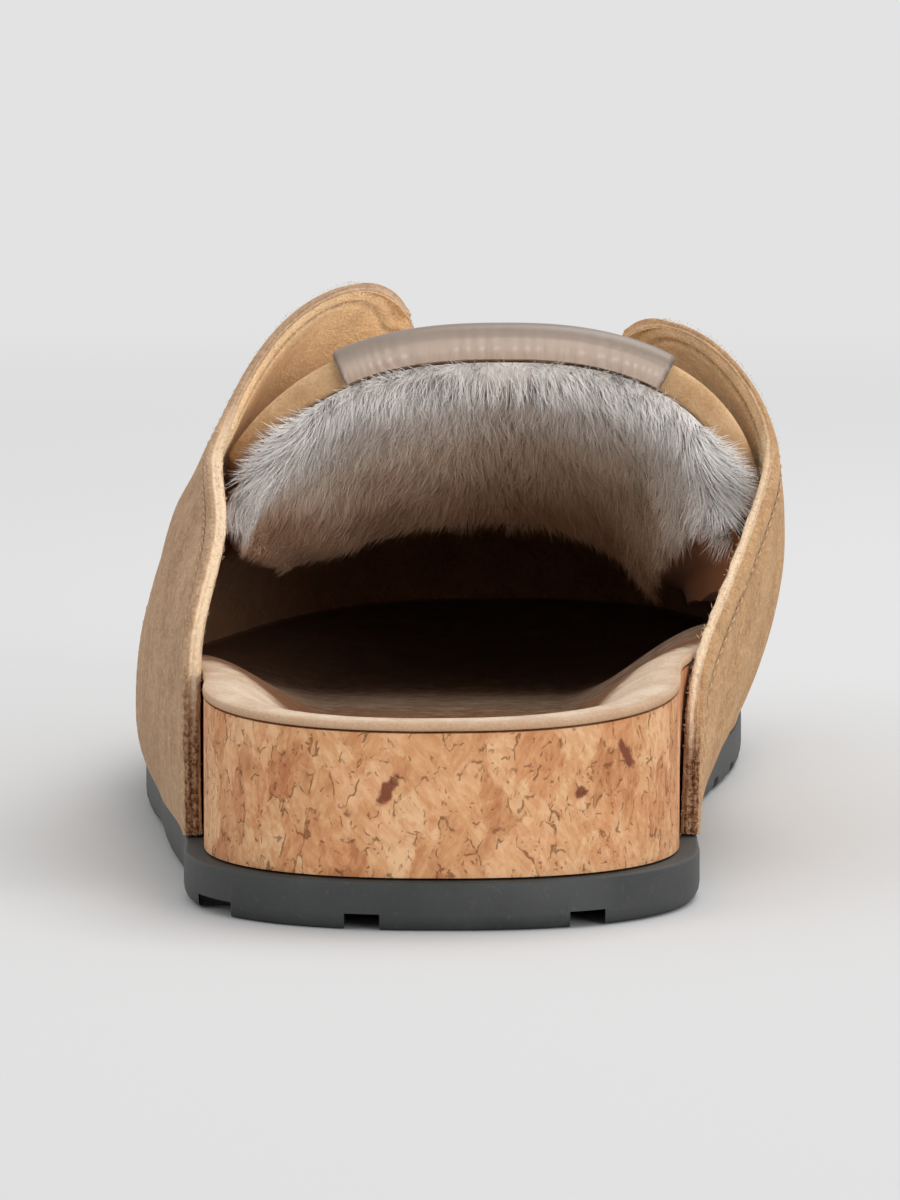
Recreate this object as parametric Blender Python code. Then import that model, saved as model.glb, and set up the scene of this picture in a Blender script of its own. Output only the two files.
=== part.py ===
"""A backless mule: cork footbed on a rubber outsole, suede upper with two standing facings, fur-lined tongue.

The model is a left shoe. It is worked out in millimetres, with the heel's back edge at length 0 and the
toe at LENGTH along +Y, the lateral side at negative X and the floor at height 0. An empty then sets the
origin under the middle of the shoe's box, and every mesh is in metres.
"""

import math

import bmesh
import bpy
import numpy as np

MM = 0.001

# Overall sizes
LENGTH = 264.0  # outsole, from the back of the heel to the toe
GAP = 0.3  # clearance between pieces that meet
WALL = 2.0  # vamp suede with its lining
SOLE_EDGE = 0.4  # outsole showing beyond the upper's lower edge
SIDE_MIDDLE = 0.7  # middle of the shoe's box, to the medial side of the long axis
TOE_SWING = 7.0  # how far the toe's tip leans to the medial side of the long axis
SWING_START = 130.0

# Plan outline of the outsole: places along the length, half widths from the long axis, slope at the waist
OUTLINE_COLUMNS = (
    "heel_y",
    "heel",
    "waist_y",
    "waist",
    "waist_slope",
    "ball_y",
    "ball",
    "heel_power",
    "toe_power",
)
OUTLINE = {
    "lateral": (38.0, 36.2, 88.0, 41.8, 0.10, 162.0, 48.5, 2.3, 2.35),
    "medial": (38.0, 36.0, 95.0, 36.0, 0.0, 186.0, 44.0, 2.3, 2.6),
}

# Form of the last above the outsole: a row for each section along the length
LAST_COLUMNS = (
    "y",
    "lateral_flare",
    "medial_flare",
    "lateral_wide",
    "medial_wide",
    "lateral_power",
    "medial_power",
    "crest_rise",
    "crest_shift",
)
LAST = np.array(
    [
        (40.0, 0.0, 0.0, 10.0, 22.0, 2.6, 2.3, 78.0, 4.0),
        (52.0, 0.3, 1.0, 10.0, 26.0, 2.6, 2.3, 77.5, 5.0),
        (66.0, 0.6, 5.5, 10.0, 33.0, 2.6, 2.3, 76.0, 6.5),
        (80.0, 0.8, 10.0, 10.0, 38.0, 2.6, 2.3, 74.0, 8.0),
        (93.0, 1.0, 13.5, 10.0, 41.0, 2.6, 2.3, 71.8, 9.0),
        (118.0, 1.3, 10.0, 9.0, 33.0, 2.3, 2.3, 66.0, 9.0),
        (145.0, 1.6, 4.5, 9.0, 18.0, 2.0, 2.25, 55.5, 7.5),
        (172.0, 1.5, 2.0, 9.0, 12.0, 2.05, 2.2, 47.0, 5.0),
        (205.0, 1.2, 1.4, 10.0, 11.0, 2.2, 2.2, 41.0, 2.5),
        (264.0, 0.8, 0.8, 11.0, 11.0, 2.4, 2.4, 33.0, 0.0),
    ]
)
TOE_CLOSE_START = 205.0
TOE_CLOSE_POWER = 2.7

# Outsole
OUTSOLE_THICK = 6.8
TOE_SPRING = 8.0
SPRING_START = 186.0
ARCH_RISE = 1.0  # relief under the waist
ARCH_SPAN = (72.0, 124.0)
SIDE_COLUMNS = ("inset", "share")  # side profile from the top down, as a share of the thickness
SOLE_SIDE = ((0.0, 1.0), (0.0, 0.32), (0.5, 0.12), (1.6, 0.0))
GROOVE_WIDTH = 4.8
GROOVE_DEPTH = 2.3
HEEL_GROOVES_X = (-31.0, -10.5, 20.0)
HEEL_GROOVE_END = 25.0
HEEL_POCKETS_Y = (38.0, 58.0)
HEEL_POCKET_HALF = 24.0
FOREFOOT_GROOVES_Y = (132.0, 152.0, 172.0, 192.0, 212.0)

# Cork footbed: height of its floor along the middle and of its rim on both sides
BED_COLUMNS = ("y", "floor", "lateral_rim", "medial_rim")
BED = np.array(
    [
        (0.0, 20.5, 26.6, 26.6),
        (40.0, 20.0, 28.3, 29.6),
        (80.0, 19.0, 27.5, 30.5),
        (105.0, 17.5, 25.0, 30.0),
        (135.0, 15.5, 20.5, 25.0),
        (165.0, 13.6, 18.0, 19.5),
        (205.0, 13.6, 17.0, 17.0),
        (264.0, 17.6, 19.0, 19.0),
    ]
)
LEAN_SPAN = (30.0, 48.0)  # where the footbed's sides begin to follow the quarters' flare
CUP_START = 0.42  # where the floor begins to rise, as a share of the way to the rim
CUP_END = 0.93  # where the rim's flat lip begins
INSOLE_THICK = 1.2
BED_HEEL_INSET = 1.4  # footbed's back edge inside the outsole's

# Free edge of the quarters: place along the length for each climb from the outsole (0) to the crest (1)
COLLAR_COLUMNS = ("climb", "lateral_y", "medial_y")
COLLAR = np.array(
    [
        (0.00, 45.0, 47.0),
        (0.12, 46.5, 48.5),
        (0.22, 50.0, 52.0),
        (0.32, 62.0, 63.0),
        (0.42, 80.0, 80.0),
        (0.52, 95.0, 94.0),
        (0.64, 105.0, 104.0),
        (0.76, 110.0, 109.0),
        (0.90, 114.0, 113.0),
    ]
)
EAR_TIP_START = 0.76  # share of the climb where the facing's tip begins to round
EAR_TIP_ROUND = 14.0
EAR_LIFT = {"lateral": 11.8, "medial": 7.5}  # facings stand off the tongue
EAR_LIFT_START = 0.46
COLLAR_TUCK = {"lateral": 2.8, "medial": 0.0}  # collar's edge hugs the foot
TUCK_SPAN = 32.0
TUCK_CLIMB = (0.18, 0.34, 0.34, 0.48)
FACING_CLIMB = {"lateral": (0.86, 0.91), "medial": (0.815, 0.885)}  # at the ear's tip and at the throat
FACING_Y = (116.0, 150.0)
THROAT_Y = 150.0
THROAT_DIP = 4.0  # throat's curve towards the toe
SEAM_FOOT_Y = 128.0  # quarter's front edge at the outsole
QUARTER_STEP = 0.8  # quarters lie over the vamp

# Tongue, its fur lining and the band over its back edge
TONGUE_Y = (99.0, 166.0)
TONGUE_THICK = 4.6
TONGUE_EDGE = 3.4
TONGUE_CLIMB = {"lateral": 0.47, "medial": 0.42}
TONGUE_BOW = 3.0
BAND_CLIMB = {"lateral": 0.75, "medial": 0.765}
BAND_Y = 13.0
BAND_THICK = 0.9
BAND_BULGE = 0.7
FUR_SETBACK = 0.6
FUR_END_Y = 164.0
FUR_THICK = (6.5, 9.0)  # at the back edge and at the front end
FUR_CLIMB = {"lateral": 0.37, "medial": 0.30}  # at the back edge
FUR_FRONT_CLIMB = {"lateral": 0.55, "medial": 0.30}  # and at the front end
FUR_CLEAR = {"lateral": 3.2, "medial": 0.4}  # from the quarters, below the tongue's side edges
LOCK_COUNT = 21
LOCK_OUT = 2.6  # locks stand out past the fur's back edge
LOCK_DROP = 0.9  # and hang below its underside

# Fineness of the meshes
HEEL_ROWS = 9
MIDDLE_ROWS = 14
TOE_ROWS = 10
ACROSS = 13
QUARTER_ROWS = 12
VAMP_ROWS = 15
WALL_COLUMNS = 11
TIP_COLUMNS = 6
THROAT_COLUMNS = 4
TONGUE_GRID = (11, 23)
FUR_GRID = (8, 64)
BAND_STEPS = 17
END_TRIM = 0.25  # end rows stop this short of the outline's tips

SMOOTH_ANGLE = math.radians(40.0)

COLOURS = {
    "outsole": ((0.052, 0.055, 0.055), 0.62),
    "footbed": ((0.62, 0.36, 0.17), 0.85),
    "insole": ((0.60, 0.44, 0.29), 0.92),
    "upper": ((0.36, 0.24, 0.14), 0.93),
    "tongue": ((0.38, 0.25, 0.14), 0.93),
    "tongue_fur": ((0.50, 0.48, 0.47), 0.95),
    "tongue_band": ((0.40, 0.33, 0.28), 0.45),
}


def ease(t):
    """Smooth step from 0 to 1."""
    t = np.clip(t, 0.0, 1.0)
    return t * t * (3.0 - 2.0 * t)


def read_row(columns, row):
    """A table's row as a dictionary."""
    return dict(zip(columns, row))


def through(table, columns, name, at):
    """Smooth curve through a table's column, read at the given values of its first column."""
    keys, values = table[:, 0], table[:, columns.index(name)]
    slopes = np.gradient(values, keys)
    at = np.clip(at, keys[0], keys[-1])
    i = np.clip(np.searchsorted(keys, at, side="right") - 1, 0, len(keys) - 2)
    step = keys[i + 1] - keys[i]
    t = (at - keys[i]) / step
    rise = values[i + 1] - values[i]
    turn = (1.0 - t) * (slopes[i] * step - rise) - t * (slopes[i + 1] * step - rise)
    return values[i] + rise * t + t * (1.0 - t) * turn


def bend(at, start, low, low_slope, end, high, high_slope):
    """Cubic from one place and slope to another."""
    t = np.clip((at - start) / (end - start), 0.0, 1.0)
    rise, step = high - low, end - start
    turn = (1.0 - t) * (low_slope * step - rise) - t * (high_slope * step - rise)
    return low + rise * t + t * (1.0 - t) * turn


def closing(distance, power):
    """Quarter of a superellipse: 1 with no slope at distance 0, and 0 at distance 1."""
    return (1.0 - np.clip(distance, 0.0, 1.0) ** power) ** (1.0 / power)


def long_axis(y):
    """Middle line of the plan, which leans to the medial side at the toe."""
    return TOE_SWING * ease((y - SWING_START) / (LENGTH - SWING_START))


def half_width(y, side, inset, heel_inset=None):
    """Half width of the plan outline on one side, moved in by the inset.

    The back of the heel can have an inset of its own.
    """
    o = read_row(OUTLINE_COLUMNS, OUTLINE[side])
    back = inset if heel_inset is None else heel_inset
    heel = closing((o["heel_y"] - y) / (o["heel_y"] - back), o["heel_power"]) * (o["heel"] - inset)
    toe = closing((y - o["ball_y"]) / (LENGTH - inset - o["ball_y"]), o["toe_power"]) * (o["ball"] - inset)
    rear = bend(y, o["heel_y"], o["heel"], 0.0, o["waist_y"], o["waist"], o["waist_slope"]) - inset
    front = bend(y, o["waist_y"], o["waist"], o["waist_slope"], o["ball_y"], o["ball"], 0.0) - inset
    middle = np.where(y < o["waist_y"], rear, front)
    return np.where(y < o["heel_y"], heel, np.where(y > o["ball_y"], toe, middle))


def sole_bottom(y):
    """Underside of the outsole: flat at heel and ball, relieved at the waist, sprung at the toe."""
    start, end = ARCH_SPAN
    waist = np.clip((y - start) / (end - start), 0.0, 1.0)
    spring = np.clip((y - SPRING_START) / (LENGTH - SPRING_START), 0.0, 1.0)
    return ARCH_RISE * np.sin(math.pi * waist) ** 2 + TOE_SPRING * spring**2


def sole_top(y):
    """Upper face of the outsole."""
    spring = np.clip((y - SPRING_START) / (LENGTH - SPRING_START), 0.0, 1.0)
    return OUTSOLE_THICK + TOE_SPRING * spring**2


def section(y, lateral):
    """Sizes of the last's section on one side.

    They are its foot and reach from the crest, the rises of its widest place and crest, the crest's shift
    and the power of its curve.
    """
    shut = closing((y - TOE_CLOSE_START) / (LENGTH - SOLE_EDGE - TOE_CLOSE_START), TOE_CLOSE_POWER)
    form = {name: through(LAST, LAST_COLUMNS, name, y) for name in LAST_COLUMNS[1:]}
    half = np.where(lateral, half_width(y, "lateral", SOLE_EDGE), half_width(y, "medial", SOLE_EDGE))
    flare = np.where(lateral, form["lateral_flare"], form["medial_flare"]) * shut
    wide = np.where(lateral, form["lateral_wide"], form["medial_wide"]) * shut
    power = np.where(lateral, form["lateral_power"], form["medial_power"])
    shift = form["crest_shift"] * shut
    foot = half + np.where(lateral, shift, -shift)
    return foot, foot + flare, wide, form["crest_rise"] * shut, shift, power


def last_point(y, a):
    """Outer form of the last.

    The place across, a, runs from -1 at the lateral lower edge, over the crest at 0, to 1 at the medial one.
    """
    y, a = np.broadcast_arrays(np.asarray(y, float), np.asarray(a, float))
    lateral = a < 0.0
    foot, reach, wide, crest, shift, power = section(y, lateral)
    lower = wide / np.maximum(wide + 0.8 * (reach + crest - wide), 1e-9)
    climb = 1.0 - np.abs(a)
    low = np.clip(climb / np.maximum(lower, 1e-9), 0.0, 1.0)
    angle = np.clip((climb - lower) / (1.0 - lower), 0.0, 1.0) * math.pi / 2.0
    wall = climb < lower
    over = reach * np.maximum(np.cos(angle), 0.0) ** (2.0 / power)
    out = np.where(wall, reach - (reach - foot) * (1.0 - low) ** 2, over)
    rise = np.where(wall, wide * low, wide + (crest - wide) * np.sin(angle) ** (2.0 / power))
    x = long_axis(y) + shift + np.where(lateral, -out, out)
    return np.stack([x, y, sole_top(y) + GAP + rise], axis=-1)


def wall_lean(y, lateral, rise):
    """How far the last's side at a height stands out from its foot on the outsole."""
    foot, reach, wide, crest, _, power = section(y, lateral)
    low = np.clip(rise / np.maximum(wide, 1e-9), 0.0, 1.0)
    high = np.clip((rise - wide) / np.maximum(crest - wide, 1e-9), 0.0, 1.0)
    over = reach * (1.0 - high**power) ** (1.0 / power)
    return np.where(rise < wide, reach - (reach - foot) * (1.0 - low) ** 2, over) - foot


def normal_of(form, y, a):
    """Outward unit normal of a form, from small steps along and across it."""
    end = LENGTH - SOLE_EDGE - 0.01
    y, a = np.broadcast_arrays(np.minimum(y, end - 0.05), np.asarray(a, float))
    along = form(np.minimum(y + 0.2, end), a) - form(np.minimum(y + 0.2, end) - 0.4, a)
    across = form(y, np.minimum(a + 0.004, 1.0)) - form(y, np.maximum(a - 0.004, -1.0))
    n = np.cross(across, along)
    return n / np.maximum(np.linalg.norm(n, axis=-1, keepdims=True), 1e-12)


def sunk(form, y, a, depth):
    """Point of a form moved in along its normal."""
    return form(y, a) - np.asarray(depth)[..., None] * normal_of(form, y, a)


def facing_climb(y, lateral):
    """Climb of the facing's edge."""
    return np.where(lateral, *(np.interp(y, FACING_Y, FACING_CLIMB[side]) for side in ("lateral", "medial")))


def collar_y(side, climb):
    """Quarter's free edge along the length at a climb, rounded at the ear's tip."""
    y = through(COLLAR, COLLAR_COLUMNS, side + "_y", climb)
    turn = np.clip((climb / FACING_CLIMB[side][0] - EAR_TIP_START) / (1.0 - EAR_TIP_START), 0.0, 1.0)
    return y + EAR_TIP_ROUND * (1.0 - np.sqrt(1.0 - turn**2))


def seam_y(share):
    """Front edge of the quarter over the vamp, for a share of the climb to the facing."""
    return SEAM_FOOT_Y + (THROAT_Y - SEAM_FOOT_Y) * ease(share)


def upper_form(y, a):
    """Outer form of the upper: the last, with the facings lifted off the tongue."""
    y, a = np.broadcast_arrays(np.asarray(y, float), np.asarray(a, float))
    climb = 1.0 - np.abs(a)
    lateral = a < 0.0
    top = np.where(lateral, FACING_CLIMB["lateral"][0], FACING_CLIMB["medial"][0])
    tip = ease((climb - EAR_LIFT_START) / (top - EAR_LIFT_START))
    back = ease((THROAT_Y - y) / (THROAT_Y - FACING_Y[0]))
    lift = np.where(lateral, EAR_LIFT["lateral"], EAR_LIFT["medial"]) * tip * back
    edge = np.where(lateral, collar_y("lateral", climb), collar_y("medial", climb))
    near = 1.0 - ease((y - edge) / TUCK_SPAN)
    first, full, leave, last = TUCK_CLIMB
    high = ease((climb - first) / (full - first)) * ease((last - climb) / (last - leave))
    lift = lift - np.where(lateral, COLLAR_TUCK["lateral"], COLLAR_TUCK["medial"]) * near * high
    return last_point(y, a) + lift[..., None] * normal_of(last_point, y, a)


def stations(start, end):
    """Places along the length, closer together at the heel and toe."""
    heel = 1.0 - np.cos(np.linspace(0.0, math.pi / 2.0, HEEL_ROWS, endpoint=False))
    toe = np.sin(np.linspace(0.0, math.pi / 2.0, TOE_ROWS))
    first, last = 40.0, 190.0
    middle = np.linspace(first, last, MIDDLE_ROWS, endpoint=False)
    return np.concatenate([start + (first - start) * heel, middle, last + (end - last) * toe])


def plan_grid(inset, across, heel_inset=None):
    """Rows along an inset outline and columns from its lateral (-1) to its medial (1) edge."""
    back = inset if heel_inset is None else heel_inset
    y = stations(back + END_TRIM, LENGTH - inset - END_TRIM)[:, None]
    q = np.linspace(-1.0, 1.0, across)[None, :]
    return np.broadcast_arrays(y, q)


def plan_x(y, q, inset, heel_inset=None):
    """Place across the outline for a share from its lateral to its medial edge."""
    half = np.where(q < 0.0, *(half_width(y, side, inset, heel_inset) for side in ("lateral", "medial")))
    return long_axis(y) + q * half


def rim_share(y, q, inset):
    """0 along the middle of the footbed and 1 all round its edge."""
    share = np.abs(q)
    for side, here in (("lateral", q < 0.0), ("medial", q >= 0.0)):
        o = read_row(OUTLINE_COLUMNS, OUTLINE[side])
        heel = np.clip((o["heel_y"] - y) / (o["heel_y"] - BED_HEEL_INSET), 0.0, 1.0)
        toe = np.clip((y - o["ball_y"]) / (LENGTH - inset - o["ball_y"]), 0.0, 1.0)
        for end, power in ((heel, o["heel_power"]), (toe, o["toe_power"])):
            round_share = (np.abs(q) ** power * (1.0 - end**power) + end**power) ** (1.0 / power)
            share = np.where(here & (end > 0.0), round_share, share)
    return share


def bed_height(y, q, inset):
    """Top of the cork: a floor that rises through a rounded cup to a flat lip at the rim."""
    floor, lateral, medial = (through(BED, BED_COLUMNS, n, y) for n in BED_COLUMNS[1:])
    blend = ease(q * 0.5 + 0.5)
    rim = lateral + (medial - lateral) * blend
    return floor + (rim - floor) * ease((rim_share(y, q, inset) - CUP_START) / (CUP_END - CUP_START))


def grid_quads(rows, columns):
    """Quads of a grid whose points run row by row."""
    i = np.arange(rows - 1)[:, None] * columns + np.arange(columns - 1)[None, :]
    return np.stack([i, i + 1, i + columns + 1, i + columns], axis=-1).reshape(-1, 4)


def new_object(name, points, faces):
    """A shaded object from points in millimetres, on the shoe's frame."""
    mesh = bpy.data.meshes.new(name)
    mesh.from_pydata((np.asarray(points) * MM).tolist(), [], [tuple(int(v) for v in f) for f in faces])
    shape = bmesh.new()
    shape.from_mesh(mesh)
    bmesh.ops.remove_doubles(shape, verts=shape.verts, dist=1e-8)
    bmesh.ops.recalc_face_normals(shape, faces=shape.faces)
    bmesh.ops.triangulate(shape, faces=[f for f in shape.faces if len(f.verts) > 4])
    shape.to_mesh(mesh)
    shape.free()
    mesh.shade_smooth()
    mesh.set_sharp_from_angle(angle=SMOOTH_ANGLE)
    piece = bpy.data.objects.new(name, mesh)
    bpy.context.scene.collection.objects.link(piece)
    if name in COLOURS:
        mesh.materials.append(finish(name, *COLOURS[name]))
    return piece


def finish(name, colour, roughness):
    """Plain material of a piece."""
    material = bpy.data.materials.new(name)
    material.use_nodes = True
    shader = material.node_tree.nodes["Principled BSDF"]
    shader.inputs["Base Color"].default_value = (*colour, 1.0)
    shader.inputs["Roughness"].default_value = roughness
    return material


def layered(name, levels, quads):
    """A closed solid between its first and last level. Levels between them give only the rim's points."""
    levels = [np.asarray(level).reshape(-1, 3) for level in levels]
    edges = np.concatenate([quads[:, [0, 1]], quads[:, [1, 2]], quads[:, [2, 3]], quads[:, [3, 0]]])
    _, first, count = np.unique(np.sort(edges, axis=1), axis=0, return_index=True, return_counts=True)
    rim = edges[first[count == 1]]
    size = len(levels[0])
    halves = np.concatenate([quads[:, [0, 1, 2]], quads[:, [0, 2, 3]]])
    faces = [tuple(h) for h in halves]
    faces += [tuple(h[::-1] + size * (len(levels) - 1)) for h in halves]
    for upper in range(len(levels) - 1):
        over, under = size * upper, size * (upper + 1)
        faces += [(b + over, a + over, a + under, b + under) for a, b in rim]
    points = np.concatenate(levels)
    used, index = np.unique(np.concatenate([np.asarray(f) for f in faces]), return_inverse=True)
    compact = iter(index)
    return new_object(name, points[used], [[next(compact) for _ in f] for f in faces])


def box_mesh(low, high):
    """Corners and outward faces of a box."""
    corners = [(x, y, z) for x in (low[0], high[0]) for y in (low[1], high[1]) for z in (low[2], high[2])]
    faces = [(0, 1, 3, 2), (4, 6, 7, 5), (0, 4, 5, 1), (2, 3, 7, 6), (0, 2, 6, 4), (1, 5, 7, 3)]
    return corners, faces


def tread_boxes():
    """Low and high corners of the grooves between the outsole's lugs."""
    half, below, beyond = GROOVE_WIDTH / 2.0, -3.0, 70.0
    for x in HEEL_GROOVES_X:
        yield (x - half, -5.0, below), (x + half, HEEL_GROOVE_END, GROOVE_DEPTH)
    for y in HEEL_POCKETS_Y:
        yield (-HEEL_POCKET_HALF, y - half, below), (HEEL_POCKET_HALF, y + half, GROOVE_DEPTH)
    for y in FOREFOOT_GROOVES_Y:
        top = float(sole_bottom(np.array(y))) + GROOVE_DEPTH
        yield (-beyond, y - half, below), (beyond, y + half, top)


def build_outsole():
    """Rubber outsole with a rounded lower edge and grooves between its lugs."""
    levels = []
    for inset, share in SOLE_SIDE:
        y, q = plan_grid(inset, 3)
        z = sole_bottom(y) + (sole_top(y) - sole_bottom(y)) * share
        levels.append(np.stack([plan_x(y, q, inset), y, z], axis=-1))
    outsole = layered("outsole", levels, grid_quads(*levels[0].shape[:2]))
    points, faces = [], []
    for low, high in tread_boxes():
        corners, sides = box_mesh(low, high)
        faces += [tuple(v + len(points) for v in side) for side in sides]
        points += corners
    grooves = new_object("tread_grooves", points, faces)
    grooves.hide_render = True
    grooves.display_type = "WIRE"
    cut = outsole.modifiers.new("tread", "BOOLEAN")
    cut.operation = "DIFFERENCE"
    cut.object = grooves
    return [outsole, grooves]


def bed_rim(y, q, inset, rim_z, share):
    """Side of the footbed at a share of its height, following the flare of the upper's inner face."""
    floor_z = sole_top(y) + GAP
    z = floor_z + (rim_z - floor_z) * share
    lean = wall_lean(y, q < 0.0, z - floor_z) * ease((y - LEAN_SPAN[0]) / (LEAN_SPAN[1] - LEAN_SPAN[0]))
    x = plan_x(y, q, inset, BED_HEEL_INSET) + q * np.where(lean > 0.0, lean * 0.94, lean * 1.06)
    return np.stack([x, y, z], axis=-1)


def bed_inset():
    """Footbed's edge inside the outsole's outline: edge, upper's wall and clearance."""
    return SOLE_EDGE + WALL + 1.5 * GAP


def build_footbed():
    """Cork footbed with a heel cup and an arch."""
    inset = bed_inset()
    y, q = plan_grid(inset, ACROSS, BED_HEEL_INSET)
    top = bed_height(y, q, inset)
    levels = [bed_rim(y, q, inset, top, share) for share in (1.0, 0.66, 0.33, 0.0)]
    return [layered("footbed", levels, grid_quads(*y.shape))]


def build_insole():
    """Suede lining over the footbed."""
    inset = bed_inset()
    y, q = plan_grid(inset, ACROSS, BED_HEEL_INSET)
    top = bed_height(y, q, inset)
    cork = bed_rim(y, q, inset, top, 1.0)
    lift = np.array([0.0, 0.0, 1.0])
    levels = [cork + (GAP + INSOLE_THICK) * lift, cork + GAP * lift]
    return [layered("insole", levels, grid_quads(*y.shape))]


def upper_grid():
    """Places on the upper's form, in rows from the collar to the toe, and the quads between them.

    Quarter rows leave out the throat, so their throat columns are never used by a quad.
    """
    wall = np.linspace(0.0, EAR_TIP_START, WALL_COLUMNS)
    tip = EAR_TIP_START + (1.0 - EAR_TIP_START) * np.sin(np.linspace(0.0, math.pi / 2.0, TIP_COLUMNS + 1)[1:])
    climb = np.concatenate([wall, tip])
    columns = len(climb)
    share = np.concatenate([climb, np.ones(THROAT_COLUMNS - 1), climb[::-1]])
    count = len(share)
    lateral = np.arange(count) < columns
    between = np.clip((np.arange(count) - columns + 1) / THROAT_COLUMNS, 0.0, 1.0)
    ends = {side: collar_y(side, share * FACING_CLIMB[side][0]) for side in FACING_CLIMB}
    start = np.where(lateral, ends["lateral"], ends["medial"])
    seam = seam_y(share) + THROAT_DIP * np.sin(math.pi * between)
    steps = np.linspace(0.0, 1.0, QUARTER_ROWS)[:, None]
    quarter = start + (seam - start) * steps
    end = LENGTH - SOLE_EDGE
    reach = np.sin(np.linspace(0.02, math.pi / 2.0, VAMP_ROWS))[:, None]
    vamp = seam + 0.15 + (end - seam - 0.15) * (reach - reach[0]) / (1.0 - reach[0])
    y = np.concatenate([quarter, vamp])
    a = np.where(lateral, share * facing_climb(y, True) - 1.0, 1.0 - share * facing_climb(y, False))
    left, right = facing_climb(y, True) - 1.0, 1.0 - facing_climb(y, False)
    a = np.where((between > 0.0) & (between < 1.0), left + (right - left) * between, a)
    quads = grid_quads(*y.shape)
    row, column = quads[:, 0] // count, quads[:, 0] % count
    throat = (column >= columns - 1) & (column < columns - 1 + THROAT_COLUMNS)
    return y, a, quads[~(throat & (row < QUARTER_ROWS))]


def build_upper():
    """Suede upper: vamp and quarters with standing facings, one wall, open below and at the collar."""
    y, a, quads = upper_grid()
    step = np.where(np.arange(len(y)) < QUARTER_ROWS, QUARTER_STEP, 0.0)[:, None] + 0.0 * y
    outer = sunk(upper_form, y, a, -step)
    inner = sunk(upper_form, y, a, WALL + 0.0 * y)
    for face in (outer, inner):
        face[..., 2] = np.maximum(face[..., 2], sole_top(face[..., 1]) + GAP)
    return [layered("upper", [outer, inner], quads)]


def instep_places(rows, columns, back, front):
    """Grid over the instep: shares along it, and places across between side edges given by their climbs."""
    t = np.linspace(0.0, 1.0, rows)[:, None]
    across = np.linspace(-1.0, 1.0, columns)[None, :]
    reach = {side: 1.0 - back[side] - (front[side] - back[side]) * ease(t) for side in back}
    a = across * np.where(across < 0.0, reach["lateral"], reach["medial"])
    return np.broadcast_arrays(t, across, a)


def tongue_across(a):
    """Share from the tongue's middle (0) to its side edges (-1 and 1) and on past them."""
    return np.where(a < 0.0, a / (1.0 - TONGUE_CLIMB["lateral"]), a / (1.0 - TONGUE_CLIMB["medial"]))


def tongue_back(a):
    """Back edge of the tongue, bowed to the rear in the middle."""
    return TONGUE_Y[0] - TONGUE_BOW * (1.0 - np.minimum(tongue_across(a) ** 2, 1.0))


def tongue_thick(a):
    """Padding of the tongue: full in the middle and thin at its side edges."""
    return TONGUE_EDGE + (TONGUE_THICK - TONGUE_EDGE) * (1.0 - np.minimum(np.abs(tongue_across(a)), 1.0) ** 3)


def build_tongue():
    """Padded suede tongue under the facings and the vamp."""
    t, _, a = instep_places(*TONGUE_GRID, TONGUE_CLIMB, TONGUE_CLIMB)
    back = tongue_back(a)
    y = back + (TONGUE_Y[1] - back) * t
    top = WALL + GAP
    levels = [sunk(last_point, y, a, top + tongue_thick(a) * d) for d in (0.0, 1.0)]
    return [layered("tongue", levels, grid_quads(*y.shape))]


def build_fur():
    """Fur lining under the tongue, with pointed locks along its back edge and underside."""
    t, across, a = instep_places(*FUR_GRID, FUR_CLIMB, FUR_FRONT_CLIMB)
    phase = (across * 0.5 + 0.5) * LOCK_COUNT + 0.5 * np.round(t * 8.0)
    lock = np.abs(2.0 * (phase - np.floor(phase)) - 1.0)
    back = tongue_back(a) + FUR_SETBACK
    y = back + (FUR_END_Y - back) * t
    under_tongue = ease((1.12 - np.abs(tongue_across(a))) / 0.08)
    clear = np.where(a < 0.0, FUR_CLEAR["lateral"], FUR_CLEAR["medial"])
    top = WALL + 2.0 * GAP + clear + (tongue_thick(a) - clear) * under_tongue
    pile = FUR_THICK[0] + (FUR_THICK[1] - FUR_THICK[0]) * t + LOCK_DROP * lock
    outer = sunk(last_point, y, a, top)
    inner = sunk(last_point, y - LOCK_OUT * lock * (1.0 - t) ** 3, a, top + pile)
    return [layered("tongue_fur", [outer, inner], grid_quads(*y.shape))]


def build_band():
    """Smooth band folded over the middle of the tongue's back edge: a fold swept across the instep."""
    across = np.linspace(-1.0, 1.0, BAND_STEPS)[:, None]
    a = across * np.where(across < 0.0, 1.0 - BAND_CLIMB["lateral"], 1.0 - BAND_CLIMB["medial"])
    top, thick = WALL + GAP, tongue_thick(a)
    rear = tongue_back(a) - GAP
    over = top - GAP
    fold = (
        (rear + BAND_Y, over),
        (rear, over),
        (rear, top + thick),
        (rear - BAND_THICK, top + thick),
        (rear - BAND_THICK - BAND_BULGE, top + 0.55 * thick),
        (rear - 0.8 * BAND_THICK, over),
        (rear, over - 0.8 * BAND_THICK),
        (rear + 2.0, over - BAND_THICK),
        (rear + BAND_Y, over - BAND_THICK),
    )
    points = np.concatenate([sunk(last_point, y, a, depth + 0.0 * a) for y, depth in fold], axis=1)
    count = len(fold)
    rows = np.arange(BAND_STEPS - 1)[:, None] * count
    here, after = np.arange(count)[None, :], (np.arange(count)[None, :] + 1) % count
    loops = [rows + here, rows + after, rows + count + after, rows + count + here]
    quads = np.stack(loops, axis=-1).reshape(-1, 4)
    ends = [tuple(range(count))[::-1], tuple(range((BAND_STEPS - 1) * count, BAND_STEPS * count))]
    return [new_object("tongue_band", points.reshape(-1, 3), [tuple(q) for q in quads] + ends)]


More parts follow.
